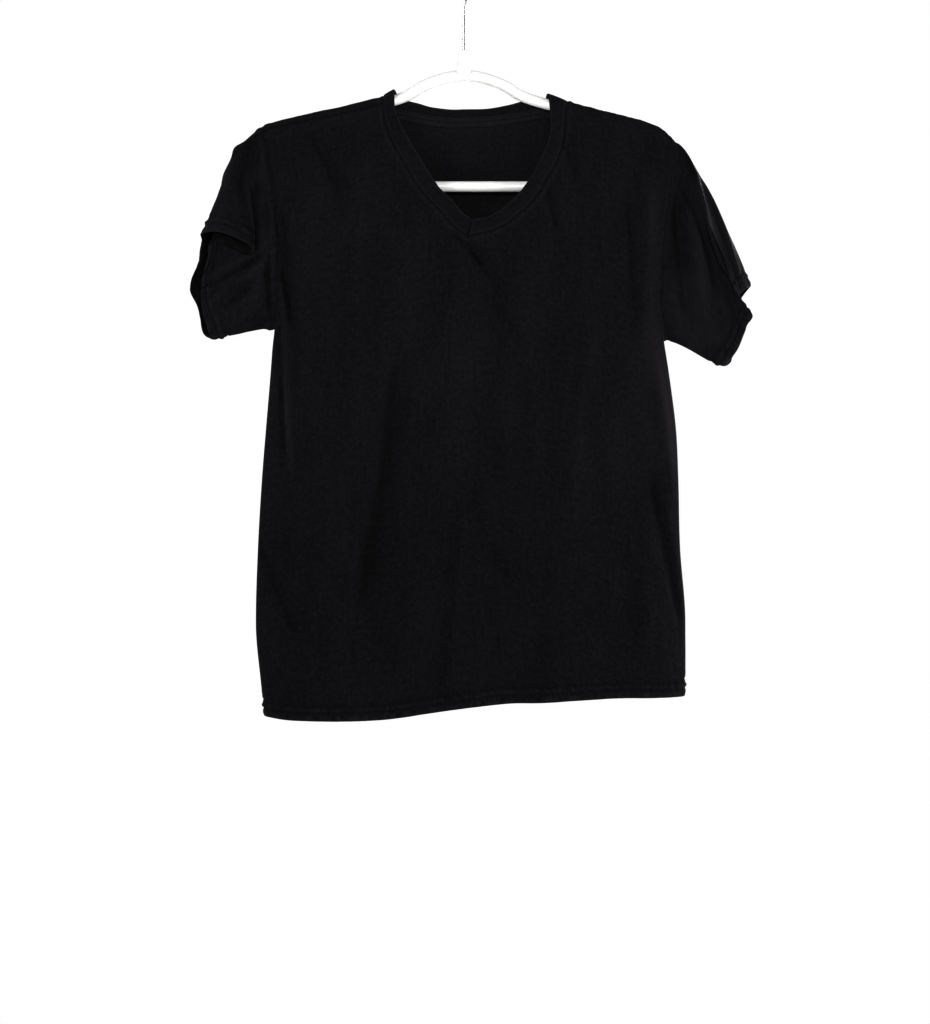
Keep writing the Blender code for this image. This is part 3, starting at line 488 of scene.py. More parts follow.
def place(x, arc):
    """A point of the cloth's outer face."""
    x, arc = np.broadcast_arrays(np.asarray(x, float), np.asarray(arc, float))
    drop = drop_of(arc)
    down = ridge_down(x) + drop
    left, right = left_x(down), right_x(down)
    share = np.clip((x - left) / (right - left), 0.0, 1.0)
    across = np.abs(2 * share - 1)
    tip = TIP_LEFT + share * (TIP_RIGHT - TIP_LEFT)
    armpit = ARMPIT_LEFT + share * (ARMPIT_RIGHT - ARMPIT_LEFT)
    level = np.clip((down - tip) / (armpit - tip), 0.0, 1.0)
    rim = RIM * np.sin(pi * level) ** 0.6
    soft = 1 - across ** 3
    profile = soft + (np.sqrt(soft) - soft) * ease((level - 0.7) / 0.3)
    middle = np.where(arc < 0, front_depth(down), back_depth(down))
    depth = rim + (middle - rim) * profile
    depth = DRAPE + (depth - DRAPE) * ease(drop / SPREAD)
    inside = np.minimum(share, 1 - share) * (right - left)
    fold = np.where(arc < 0, folds_at(FRONT_FOLDS, x, down), folds_at(BACK_FOLDS, x, down))
    crease = np.where(arc < 0, folds_at(FRONT_CREASES, x, down), folds_at(BACK_CREASES, x, down))
    depth = depth + fold * ease(inside / 40) * ease((drop - 12) / 50)
    depth = depth + crease * ease(inside / 9) * ease((drop - 8) / 14)
    turn = np.where(np.abs(arc) < QUARTER, np.sin(np.abs(arc) / DRAPE), 1.0)
    return np.stack([x, np.sign(arc) * depth * turn, -down], -1)


def x_at(share, arc):
    """The x of a column of cloth, a fixed share of the width, at an arc."""
    x = left_x(TIP_LEFT) + share * (right_x(TIP_LEFT) - left_x(TIP_LEFT))
    for _ in range(4):
        down = ridge_down(x) + drop_of(arc)
        x = left_x(down) + share * (right_x(down) - left_x(down))
    return x


def share_at(x, arc):
    down = ridge_down(x) + drop_of(arc)
    return (x - left_x(down)) / (right_x(down) - left_x(down))


def normal_at(x, arc):
    """The way out of the cloth."""
    step = 0.1
    across = place(x + step, arc) - place(x - step, arc)
    along = place(x, arc + step) - place(x, arc - step)
    return unit(np.cross(across, along))


def arc_to(share, down, side):
    """The signed arc at which a column reaches a depth."""
    x = left_x(down) + share * (right_x(down) - left_x(down))
    return side * arc_of(down - ridge_down(x))


def ripple(across, along, wide, long, seed):
    """Seeded smooth noise, stretched along the cloth's length; wide and long are the size of its waves."""
    across, along = np.broadcast_arrays(across, along)
    flat = zip((across / wide).ravel(), (along / long).ravel())
    values = np.fromiter((noise.noise(Vector((a, b, seed))) for a, b in flat), float, across.size)
    return values.reshape(across.shape)


def run_along(points):
    """How far along a line of points each of them is."""
    return np.concatenate([[0], np.cumsum(np.linalg.norm(np.diff(points, axis=0), axis=1))])


def nearest(points, line):
    """Distance from each point to a line of points, and how far along the line that is."""
    run = run_along(line)
    gaps = np.full(points.shape[:-1], np.inf)
    along = np.zeros(points.shape[:-1])
    for at, here in zip(run, line):
        gap = np.linalg.norm(points - here, axis=-1)
        closer = gap < gaps
        gaps[closer], along[closer] = gap[closer], at
    return gaps, along


# ---------------------------------------------------------------- the neck and the panels' grids

def neck_rows():
    """A curve through the neck's rows: x and arc of the rib's seam and edge, and its lift."""
    sign = {"front": -1, "ridge": 0, "back": 1}
    rows = []
    for row in NECK:
        side = sign[row.side]
        seam = side * arc_of(row.seam_down - ridge_down(row.seam_x))
        edge = side * arc_of(row.edge_down - ridge_down(row.edge_x))
        rows.append((row.seam_x, seam, row.edge_x, edge, row.lift))
    curves = [curve(np.arange(len(rows)), values) for values in np.array(rows, float).T]
    return lambda at: np.stack([c(at) for c in curves], -1)


neck_at = neck_rows()
ROLLED = [row.side for row in NECK].index("ridge") - 1    # the left shoulder seam meets the neck here
NECK_RIGHT = len(NECK) - 1 - [row.side for row in NECK][::-1].index("ridge")


def neck_stations(step, least=1):
    """Stations about a step apart round the neck, with one on every row of the table."""
    stations = [0.0]
    for i in range(len(NECK) - 1):
        ends = neck_at(np.array([i, i + 1.0]))
        points = place(ends[:, 0], ends[:, 1])
        count = max(least, round(float(np.linalg.norm(points[1] - points[0])) / step))
        stations += [i + (k + 1) / count for k in range(count)]
    return np.array(stations)


STATION = neck_stations(NECK_STEP)
STATIONS = neck_at(STATION)


def columns_of(side):
    """Share and first arc of each column of a panel, left to right, and which of them lie on the neck."""
    if side < 0:
        left_part = STATIONS[STATION <= ROLLED + TINY][::-1]
        right_part = STATIONS[STATION >= NECK_RIGHT - TINY][::-1]
        point = (left_part[-1:] + right_part[:1]) / 2
        point[0, 1] -= POINT_ROOM
        neck = np.concatenate([left_part[:-1], point, right_part[1:]])
    else:
        neck = STATIONS[(STATION >= ROLLED - TINY) & (STATION <= NECK_RIGHT + TINY)]
    shares = share_at(neck[:, 0], neck[:, 1])
    first, last = shares[0], shares[-1]
    step = COLUMN_STEP / (right_x(TIP_LEFT) - left_x(TIP_LEFT))
    steps = [np.concatenate([[0.0, 0.0006, 0.002, 0.0042], np.arange(0.0075, end - 0.003, step)])
             for end in (first, 1 - last)]
    left_shares, right_shares = steps[0], (1 - steps[1])[::-1]
    roll = ROLL_TIP + (ROLL_NECK - ROLL_TIP) * left_shares / first
    starts = np.concatenate([-roll, neck[:, 1], np.zeros(len(right_shares))])
    from_, to = len(left_shares), len(left_shares) + len(neck)
    return np.concatenate([left_shares, shares, right_shares]), starts, from_, to


ARMPIT_ROW = TOP_ROWS + CHEST_ROWS


def panel_arcs(side, share, start):
    """The arcs of a column's rows, from its start to the hem."""
    armpit = ARMPIT_LEFT + share * (ARMPIT_RIGHT - ARMPIT_LEFT)
    at_armpit = arc_to(share, armpit, side)
    at_hem = arc_to(share, hem_down(share), side)
    span = max(TOP_SPAN, TOP_SPAN - side * start)
    begin = start + side * span
    zone = at_hem - side * HEM_ZONE
    close = HEM_ZONE * (1 - (np.arange(1, HEM_ROWS + 1) / HEM_ROWS)) ** 1.15
    return np.concatenate([
        start + (begin - start) * (np.arange(TOP_ROWS) / TOP_ROWS) ** 1.5,
        np.linspace(begin, at_armpit, CHEST_ROWS, endpoint=False),
        np.linspace(at_armpit, zone, BODY_ROWS),
        at_hem - side * close,
    ])


def seam_relief(seam, distance, along, seed):
    """Height of the cloth beside a seam: a groove on its line, a roll over the edges inside, and puckers."""
    pucker = ripple(along, distance, 6.5, 16.0, seed) + 0.5 * ripple(along, distance, 3.8, 9.0, seed + 1)
    roll = seam.roll * bell((distance - seam.roll_at) / seam.roll_wide) * ease(distance / 1.5)
    return (-seam.groove * bell(distance / seam.groove_wide) + roll * (1 + 0.5 * pucker)
            + seam.pucker * pucker * bell(distance / 8.0) * ease(distance / 2.5))


def hem_relief(above, along, seed):
    """Height of the outer face over a turned hem, and its wear and painted light; above is the distance from
    its edge.
    """
    low, high = STITCH_LINES
    turned = 0.45 * ease((HEM_TURN + 0.8 - above) / 1.6)
    lines = sum(bell((above - line) / 0.75) for line in STITCH_LINES)
    pucker = ripple(along, above, 4.6, 12.0, seed) + 0.7 * ripple(along, above, 2.4, 8.0, seed + 3)
    between = bell((above - (low + high) / 2) / 1.9)
    edge = bell((above - 3.2) / 2.4)
    rounding = -0.5 * HEM_WALL * (1 - np.sqrt(1 - np.square(np.clip(1 - above / HEM_ROUND, 0, 1))))
    beyond = -1.1 * bell((above - HEM_TURN - 0.2) / 1.2) + 0.6 * pucker * bell((above - HEM_TURN - 4) / 4.5)
    height = (turned - 0.7 * lines + between * (0.9 + 1.3 * pucker) + rounding
              + (0.5 + 0.9 * pucker) * np.sin(pi * np.clip(above / low, 0, 1)) + beyond)
    # wear and painted highlight: paler between the stitch rows and near the edge, more where the hem puffs;
    # painted shade: darker in the stitch rows' grooves
    wear_and_light = (0.08 + 0.55 * pucker) * (between + edge) - 0.1 * lines
    return height, wear_and_light


def raise_cloth(points, normals, relief, above, run, seed, seam_wear_and_highlight):
    """Outer and inner points, and wear and painted light, of jersey that has this relief and a turned hem."""
    hem_high, hem_wear_and_light = hem_relief(above, run, seed)
    wall = JERSEY + (HEM_WALL - JERSEY) * ease((HEM_TURN + 1.0 - above) / 2.0)
    wall = wall * (1 - 0.6 * ease(1 - above / HEM_ROUND))
    outer = points + normals * (relief + hem_high)[..., None]
    # painted light by height: raised cloth paler as wear and painted highlight, troughs darker as painted
    # shade
    high = np.maximum(HEIGHT_WEAR_AND_LIGHT * relief, DEEPEST_TROUGH_SHADE)
    # paler at the hem's folded edge: wear and painted highlight
    wear_and_light = np.clip(0.35 * bell(above / 1.6) + hem_wear_and_light + seam_wear_and_highlight + high, LEAST_WEAR_AND_LIGHT, 1)
    return outer, outer - normals * wall[..., None], wear_and_light


def panel_grid(side):
    """Outer and inner points, normals, cloth coordinates, and wear and painted light of the front (-1) or
    back (1) panel.
    """
    shares, starts, neck_from, neck_to = columns_of(side)
    arcs = np.array([panel_arcs(side, share, start) for share, start in zip(shares, starts)])
    x = x_at(shares[:, None], arcs)
    points, normals = place(x, arcs), normal_at(x, arcs)
    for i, out in ((0, -1.0), (-1, 1.0)):
        normals[i, :, 0] = 0.0
        normals[i] = unit(normals[i])
        normals[i, ARMPIT_ROW + 1:] = (out, 0.0, 0.0)
        normals[i, ARMPIT_ROW] = unit(np.array([out, 0.0, -1.0]))
        points[i, ARMPIT_ROW:, 1] = 0.0
    down = -points[..., 2]
    width = right_x(down) - left_x(down)
    inside = np.minimum(shares, 1 - shares)[:, None] * width
    rows = np.arange(arcs.shape[1])
    seed = 11.0 if side < 0 else 47.0
    wander = ripple(down, 0, 7.0, 1.0, 3.0) * bell(inside / 7) * ease((ARMPIT_ROW - rows) / 6)
    points[..., 0] += SEAM_WANDER * wander

    calm = ease(inside / 30) * ease(np.abs(arcs - starts[:, None]) / 30)
    long_waves = 1.7 * ripple(x + 0.12 * down, down, 34, 170, seed) + 1.0 * ripple(x, down, 17, 95, seed + 5)
    small_waves = 0.6 * ripple(x + 6 * ripple(x, down, 60, 60, seed + 9), down, 8, 34, seed + 7)
    relief = (long_waves + small_waves) * calm

    neck_line = points[neck_from:neck_to, 0]
    from_neck, round_neck = nearest(points, neck_line)
    relief = relief + seam_relief(NECK_SEAM, from_neck, round_neck, seed + 13)
    armhole = ease((ARMPIT_ROW + 4 - rows) / 8)
    for seam, distance, more in ((BODY_ARMHOLES[0], shares[:, None] * width, 17),
                                 (BODY_ARMHOLES[1], (1 - shares)[:, None] * width, 19)):
        relief = relief + seam_relief(seam, distance, down, seed + more) * armhole
        relief = relief + seam_relief(SIDE_SEAM, distance, down, seed + more) * (1 - armhole)
    shoulder = np.ones(len(shares))
    shoulder[neck_from:neck_to] = 0.0
    relief = relief + seam_relief(SHOULDER_SEAM, np.abs(arcs - starts[:, None]), x, 5.0) * shoulder[:, None]

    above = np.abs(arcs[:, -1:] - arcs)
    # paler along the neck seam's roll: wear and painted highlight
    seam_wear_and_highlight = 0.15 * bell((from_neck - NECK_SEAM.roll_at) / 2.0)
    run = run_along(points[:, -1])[:, None]
    outer, inner, wear_and_light = raise_cloth(points, normals, relief, above, run, seed + 23, seam_wear_and_highlight)
    # painted shade: darker towards the hem
    wear_and_light = wear_and_light - PAINTED_SHADE_LOW * ease((down - 440) / 220)
    # painted highlights on the front
    if side < 0:
        wear_and_light = wear_and_light + folds_at(FRONT_PAINTED_HIGHLIGHTS, x, down)
    cloth = np.stack([x, -np.abs(arcs) * side], -1) * MM
    return {"outer": outer, "inner": inner, "normals": normals, "cloth": cloth, "wear_and_light": wear_and_light, "above": above}


# ---------------------------------------------------------------- meshes

def link(name, data):
    made = bpy.data.objects.new(name, data)
    bpy.context.scene.collection.objects.link(made)
    return made


def add_mesh(name, points, faces, corners=None, wear_and_light=None, sharp=50):
    """An object from points in millimetres; corners are the cloth coordinates of each face's corners."""
    mesh = bpy.data.meshes.new(name)
    mesh.from_pydata(np.asarray(points, float) * MM, [], faces)
    if corners is not None:
        layer = mesh.uv_layers.new(name="cloth")
        layer.data.foreach_set("uv", np.asarray(corners, np.float32).ravel())
    if wear_and_light is not None:
        mesh.attributes.new("wear_and_light", "FLOAT", "POINT").data.foreach_set("value", np.asarray(wear_and_light, np.float32))
    work = bmesh.new()
    work.from_mesh(mesh)
    bmesh.ops.recalc_face_normals(work, faces=work.faces)
    work.to_mesh(mesh)
    work.free()
    mesh.shade_smooth()
    mesh.set_sharp_from_angle(angle=radians(sharp))
    return link(name, mesh)


def grid_faces(across, along, ring_across=False, ring_along=False):
    """Faces of a grid, and the same faces on a grid that has its wrapped line twice, for coordinates."""
    i, j = np.meshgrid(np.arange(across if ring_across else across - 1),
                       np.arange(along if ring_along else along - 1), indexing="ij")
    i, j = i.ravel(), j.ravel()
    line = along + 1 if ring_along else along
    faces, unwrapped = [], []
    for a, b in ((i, j), (i + 1, j), (i + 1, j + 1), (i, j + 1)):
        faces.append(a % across * along + b % along)
        unwrapped.append(a * line + b)
    return np.stack(faces, 1), np.stack(unwrapped, 1)


def add_shell(name, grid, inner_painted_light, ring=False):
    """A wall of cloth between two grids; a ring closes on itself, and its cloth has one more line."""
    outer, inner, cloth, wear_and_light = (grid[key] for key in ("outer", "inner", "cloth", "wear_and_light"))
    across, along = outer.shape[:2]
    half = across * along
    faces, unwrapped = grid_faces(across, along, ring_across=ring)
    flat = cloth.reshape(-1, 2)
    all_faces = [faces, faces[:, ::-1] + half]
    corners = [flat[unwrapped], flat[unwrapped[:, ::-1]]]
    span = np.arange(across if ring else across - 1)
    after = (span + 1) % across
    for j in (0, along - 1):
        here, there = span * along + j, after * along + j
        all_faces.append(np.stack([here, here + half, there + half, there], 1))
        corners.append(flat[np.stack([here] * 2 + [(span + 1) * along + j] * 2, 1)])
    if not ring:
        span = np.arange(along - 1)
        for i in (0, across - 1):
            at = i * along + span
            all_faces.append(np.stack([at, at + 1, at + 1 + half, at + half], 1))
            corners.append(flat[np.stack([at, at + 1, at + 1, at], 1)])
    points = np.concatenate([outer.reshape(-1, 3), inner.reshape(-1, 3)])
    # the inner face takes the caller's painted light: paler in the body, darker in the sleeves
    worn_and_lit = np.concatenate([wear_and_light.ravel(), wear_and_light.ravel() + inner_painted_light])
    return add_mesh(name, points, np.concatenate(all_faces).tolist(), np.concatenate(corners), worn_and_lit)


def add_band(name, loops, cloth, wear_and_light):
    """A strip from closed loops of points, one loop a station."""
    stations, around = loops.shape[:2]
    faces, unwrapped = grid_faces(stations, around, ring_along=True)
    wrapped = np.concatenate([cloth, cloth[:, :1]], 1).reshape(-1, 2)
    made_faces = faces.tolist()
    corners = wrapped[unwrapped].reshape(-1, 2).tolist()
    for i in (0, stations - 1):
        made_faces.append([i * around + k for k in range(around)])
        corners += cloth[i].tolist()
    return add_mesh(name, loops.reshape(-1, 3), made_faces, corners, wear_and_light.ravel(), sharp=60)


def tube_loops(path, radius, sides, closed=False, parting=0.0):
    """Rings of points round a path in the XZ plane; parting is the height of the mould's line on it."""
    path = np.array(path, float)
    if closed:
        run = unit(np.roll(path, -1, 0) - np.roll(path, 1, 0))
    else:
        run = unit(np.vstack([path[1:], path[-1:]]) - np.vstack([path[:1], path[:-1]]))
    way = np.stack([run[:, 2], np.zeros(len(run)), -run[:, 0]], -1)
    turns = 2 * pi * np.arange(sides) / sides
    radii = np.broadcast_to(np.asarray(radius, float), (len(path),))[:, None, None]
    radii = radii + parting * (np.abs(np.cos(turns)) > 1 - TINY)[None, :, None]
    ring = np.cos(turns)[None, :, None] * way[:, None] + np.sin(turns)[None, :, None] * np.array([0, 1.0, 0])
    return path[:, None] + radii * ring


# ---------------------------------------------------------------- the pieces of cloth

def periodic(shares, values):
    """A closed smooth curve through the values, for shares from 0 to 1."""
    shares, values = np.array(shares, float), np.array(values, float)
    reach = 3
    keys = np.concatenate([shares[-reach:] - 1, shares, shares[:reach] + 1])
    return curve(keys, np.concatenate([values[-reach:], values, values[:reach]]))


def armhole_ring(panels, at):
    """Outer and inner points round an armhole, from the shoulder seam down the front and up the back."""
    rings = []
    for layer in ("outer", "inner"):
        front = panels[-1][layer][at][:ARMPIT_ROW + 1].copy()
        back = panels[1][layer][at][:ARMPIT_ROW + 1]
        front[0] = (front[0] + back[0]) / 2
        front[-1] = (front[-1] + back[-1]) / 2
        rings.append(np.concatenate([front, back[1:-1][::-1]]))
    return rings


def sleeve_grid(ring_outer, ring_inner, lines, reach, folds, crown, seam, out, seed):
    """A sleeve's points, by station round the armhole and row out to the hem."""
    closed = np.vstack([ring_outer, ring_outer[:1]])
    lengths = run_along(closed)
    armpit = lengths[ARMPIT_ROW]
    stations = np.where(lengths <= armpit, 0.5 * lengths / armpit,
                        0.5 + 0.5 * (lengths - armpit) / (lengths[-1] - armpit))[:-1]

    def through(names):
        keys = [line.share for line in lines]
        found = [periodic(keys, [getattr(line, name) for line in lines])(stations) for name in names]
        return np.stack([found[0], found[1], -found[2]], -1)

    middle = through(("mid_x", "mid_y", "mid_down"))
    hem = through(("hem_x", "hem_y", "hem_down"))
    # the first handle is long at the shoulder tip and short under the arm
    top = (0.5 + 0.5 * np.cos(2 * pi * stations)) ** 2
    handle = np.stack([out * (UNDERARM.x + (abs(reach.x) - UNDERARM.x) * top), np.zeros(len(top)),
                       -reach.down * top - UNDERARM.down * (1 - top)], -1)
    first = ring_outer + handle
    second = (middle - 0.125 * (ring_outer + hem) - 0.375 * first) / 0.375
    w = (0.5 - 0.5 * np.cos(pi * np.arange(SLEEVE_ROWS + 1) / SLEEVE_ROWS))[None, :, None]
    v = 1 - w
    outer = (v ** 3 * ring_outer[:, None] + 3 * v * v * w * first[:, None]
             + 3 * v * w * w * second[:, None] + w ** 3 * hem[:, None])

    round_way = np.roll(outer, -1, 0) - np.roll(outer, 1, 0)
    normals = unit(np.cross(round_way, np.gradient(outer, axis=1))) * out
    steps = np.linalg.norm(np.diff(outer, axis=1), axis=2)
    from_seam = np.concatenate([np.zeros((len(outer), 1)), np.cumsum(steps, 1)], 1)
    above = from_seam[:, -1:] - from_seam
    along = ease(from_seam / 7)
    facing, behind = ease(-2 * normals[..., 1]), ease(2 * normals[..., 1])
    x, down = outer[..., 0], -outer[..., 2]
    relief = folds_at(folds, x, down) * facing * along
    relief = relief + folds_at(crown, x, down) * ease(1.6 - 2.4 * np.abs(normals[..., 1])) * along
    relief = relief + folds_at(SLEEVE_BACK_CREASES, x * out, down) * behind * along
    girth = np.linalg.norm(np.roll(outer[:, -1], -1, 0) - outer[:, -1], axis=1)
    run = np.concatenate([[0], np.cumsum(girth)])
    calm = ease(from_seam / 15)
    turn = 2 * pi * stations[:, None]
    ring_x, ring_y = 40 * np.cos(turn), 40 * np.sin(turn)
    relief = relief + calm * (1.0 * ripple(ring_x + 0 * from_seam, ring_y + 0.3 * from_seam, 13, 13, seed)
                              + 0.4 * ripple(3 * ring_x + 0 * from_seam, 3 * ring_y + 0.5 * from_seam, 12, 14,
                                             seed + 3))
    relief = relief + seam_relief(seam, from_seam, run[:-1, None], seed + 5)
    # paler along the armhole seam's roll: wear and painted highlight
    seam_wear_and_highlight = 0.1 * bell((from_seam - seam.roll_at) / 2.0)
    outer, inner, wear_and_light = raise_cloth(outer, normals, relief, above, run[:-1, None], seed + 7, seam_wear_and_highlight)
    inner[:, 0] = ring_inner
    # painted light and shade on the right sleeve's front
    wear_and_light = wear_and_light + folds_at(SLEEVES_PAINTED_LIGHT, x, down) * facing
    cloth = np.stack(np.broadcast_arrays(run[:, None], np.vstack([from_seam, from_seam[:1]])), -1) * MM
    return {"outer": outer, "inner": inner, "normals": normals, "cloth": cloth, "wear_and_light": wear_and_light, "above": above}


def make_rib():
    """The double band round the neck, from loops round its section, open at the mitre of the V."""
    stations = neck_stations(RIB_PITCH / 3, least=2)
    seam_x, seam_arc, edge_x, edge_arc, lift = neck_at(stations).T
    seam, seam_normal = place(seam_x, seam_arc), normal_at(seam_x, seam_arc)
    edge, edge_normal = place(edge_x, edge_arc), normal_at(edge_x, edge_arc)
    edge = edge + edge_normal * (lift + RIB_PROUD)[:, None]
    run = run_along((seam + edge) / 2)
    to_end = np.minimum(run, run[-1] - run)
    closing = ease(1 - to_end / 4)[:, None]
    near = np.where(run < run[-1] / 2, 0, -1)
    seam = seam + 0.1 * closing * ((seam[0] + seam[-1]) / 2 - seam[near])
    edge = edge + 0.25 * closing * ((edge[0] + edge[-1]) / 2 - edge[near])
    inward = edge - seam
    inward = unit(inward - (inward * seam_normal).sum(-1, keepdims=True) * seam_normal)
    seam = seam - inward * 0.3 + seam_normal * RIB_PROUD
    wales = RIB_HIGH * np.cos(2 * pi * run / RIB_PITCH)
    waves = 0.35 * ripple(run, 0 * run, 22, 1, 71) + 0.2 * ripple(run, 0 * run, 9, 1, 73)
    ends = ease(to_end / 1.4)
    loops, cloth, wear_and_light = [], [], []
    for share, high in RIB_SECTION:
        normal = unit(seam_normal * (1 - share) + edge_normal * share)
        middle = high + RIB_WALL / 2
        lifted = middle * (1 - 0.45 * (1 - ends) * bell((share - 0.3) / 0.4)) - RIB_WALL / 2
        lifted = lifted + (wales * np.sign(middle) * ease(abs(middle) * 2) + waves * share) * ends
        base = seam * (1 - share) + edge * share
        loops.append(base + normal * lifted[:, None])
        across = share * RIB_WIDE if middle > 0 else 40 - share * RIB_WIDE
        cloth.append(np.stack([run, np.full(len(run), across)], -1) * MM)
        # painted highlight along the rib's free edge, fainter beside its seam
        wear_and_light.append(np.full(len(run), 0.9 * bell((share - 1) / 0.07) + 0.3 * bell((share - 0.1) / 0.05)))
    return add_band("neck_rib_cloth", np.stack(loops, 1), np.stack(cloth, 1), np.stack(wear_and_light, 1))


def make_tape():
    """The ribbed tape over the back neck seam, on the inside of the back panel."""
    stations = np.linspace(*TAPE_ROWS, TAPE_STATIONS)
    seam_x, seam_arc = neck_at(stations)[:, :2].T
    share = share_at(seam_x, seam_arc)
    run = run_along(place(seam_x, seam_arc))
    wales = 0.2 * np.cos(2 * pi * run / 2.4) + 0.35 * ripple(run, 0 * run, 3.4, 1, 93)
    waves = 0.5 * ripple(run, 0 * run, 14, 1, 91)
    ends = ease(np.minimum(run, run[-1] - run) / 5)
    loops, cloth, wear_and_light = [], [], []
    for across, high in TAPE_SECTION:
        arc = seam_arc - TAPE_UP + across * TAPE_WIDE
        x = x_at(share, arc)
        thick = (high * TAPE_WALL + (wales if high > 0.6 else 0.0)) * (0.35 + 0.65 * ends)
        inward = JERSEY + (0.5 + thick + waves * across if high > 0 else 0.0 * thick)
        loops.append(place(x, arc) - normal_at(x, arc) * inward[:, None])
        cloth.append(np.stack([run, np.full(len(run), across * TAPE_WIDE)], -1) * MM)
        # painted highlight: the tape's raised bands paler than its grooves
        wear_and_light.append(np.full(len(run), 0.35 if high > 0.6 else 0.1))
    return add_band("back_neck_tape_cloth", np.stack(loops, 1), np.stack(cloth, 1), np.stack(wear_and_light, 1))


def stitches(points, normals, pitch=STITCH_PITCH, length=STITCH, radius=THREAD):
    """Short arched threads along a line on the cloth: their points and faces."""
    run = run_along(points)
    starts = np.arange(pitch / 2, run[-1] - length, pitch)
    rings, sides = 5, 6
    made = []
    for k in range(rings):
        t = k / (rings - 1)
        at = starts + length * t
        centre = np.stack([np.interp(at, run, points[:, i]) for i in range(3)], -1)
        up = unit(np.stack([np.interp(at, run, normals[:, i]) for i in range(3)], -1))
        ahead = np.stack([np.interp(at + 0.5, run, points[:, i]) for i in range(3)], -1)
        behind = np.stack([np.interp(at - 0.5, run, points[:, i]) for i in range(3)], -1)
        way = unit(np.cross(up, ahead - behind))
        thick = radius * (0.25 + 0.75 * sin(pi * t) ** 0.5)
        centre = centre + up * (radius * (1.3 * sin(pi * t) - 0.4))
        for s in range(sides):
            turn = 2 * pi * s / sides
            made.append(centre + thick * (cos(turn) * way + sin(turn) * up))
    made = np.stack(made, 1)
    count, per = made.shape[0], rings * sides
    faces = []
    for k in range(rings - 1):
        for s in range(sides):
            a, b = k * sides + s, k * sides + (s + 1) % sides
            faces.append((a, b, b + sides, a + sides))
    caps = [tuple(range(sides)), tuple(range(per - sides, per))]
    all_faces = [tuple(v + i * per for v in face) for i in range(count) for face in faces + caps]
    return made.reshape(-1, 3), all_faces


def add_stitches(name, runs):
    """One mesh of all the stitches along several lines."""
    points, faces, base = [], [], 0
    for line, normals in runs:
        made, made_faces = stitches(line, normals)
        points.append(made)
        faces += [tuple(v + base for v in face) for face in made_faces]
        base += len(made)
    mesh = bpy.data.meshes.new(name)
    mesh.from_pydata(np.concatenate(points) * MM, [], faces)
    mesh.shade_smooth()
    return link(name, mesh)


def line_above(grid, above):
    """Points and normals of a grid's outer face along a line a distance above its hem."""
    found, normals = [], []
    for points, normal, gaps in zip(grid["outer"], grid["normals"], grid["above"]):
        order = np.argsort(gaps)
        found.append([np.interp(above, gaps[order], points[order, i]) for i in range(3)])
        normals.append([np.interp(above, gaps[order], normal[order, i]) for i in range(3)])
    return np.array(found), unit(np.array(normals))


# ---------------------------------------------------------------- the hanger

def arm_path():
    """Right half of the hanger's centre line, from the top of the hump to the middle of the bar."""
    hump = curve((0, 12, 29, 44, 59, 75, ARM_X), (125.5, 126.6, 131.0, 137.2, 146.6, 152.5, ARM_DOWN))
    path = [(x, hump(x)) for x in np.linspace(0, ARM_X, 48)]
    bend_down = BAR_DOWN - END_BEND
    bend_x = ARM_X + (bend_down - END_BEND / cos(ARM_SLOPE) - ARM_DOWN) / tan(ARM_SLOPE)
    straight = (bend_x + END_BEND * sin(ARM_SLOPE), bend_down - END_BEND * cos(ARM_SLOPE))
    path += [tuple(np.array(path[-1]) + (np.array(straight) - path[-1]) * t) for t in (0.3, 0.7)]
    for turn in np.linspace(ARM_SLOPE, pi, 36):
        path.append((bend_x + END_BEND * sin(turn), bend_down - END_BEND * cos(turn)))
    path += [(bend_x * t, BAR_DOWN) for t in (0.75, 0.5, 0.25, 0.0)]
    return [(float(x), 0.0, -float(down)) for x, down in path]


def make_hanger():
    """The tube of the hanger with its boss, which flares into the tube."""
    right = arm_path()
    left = [(-x, y, z) for x, y, z in right[1:-1]][::-1]
    loops = tube_loops(right + left, TUBE, TUBE_SIDES, closed=True, parting=PARTING)
    faces, _ = grid_faces(len(loops), loops.shape[1], ring_across=True, ring_along=True)
    points, faces = loops.reshape(-1, 3), faces.tolist()
    bore = WIRE + 0.35
    section = ((0.0, 108.0), (bore, 108.0), (bore, 100.6), (bore + 0.3, 100.1), (3.2, 99.85), (5.0, BOSS_TOP),
               (5.8, 100.05), (6.15, 100.5), (BOSS_RADIUS, 101.2), (BOSS_RADIUS, 112.0), (6.5, 115.5),
               (7.1, 118.5), (8.2, 121.0), (9.6, 122.8), (9.0, 126.0), (0.0, 126.0))
    turns = 2 * pi * np.arange(SOCKET_SIDES) / SOCKET_SIDES
    lathe = np.array([[(r * cos(turn), min(r, TUBE + 1.6) * sin(turn), -down) for turn in turns]
                      for r, down in section])
    ring, _ = grid_faces(len(section), len(turns), ring_along=True)
    faces += (ring + len(points)).tolist()
    points = np.concatenate([points, lathe.reshape(-1, 3)])
    return add_mesh("hanger_tube", points, faces, sharp=40)


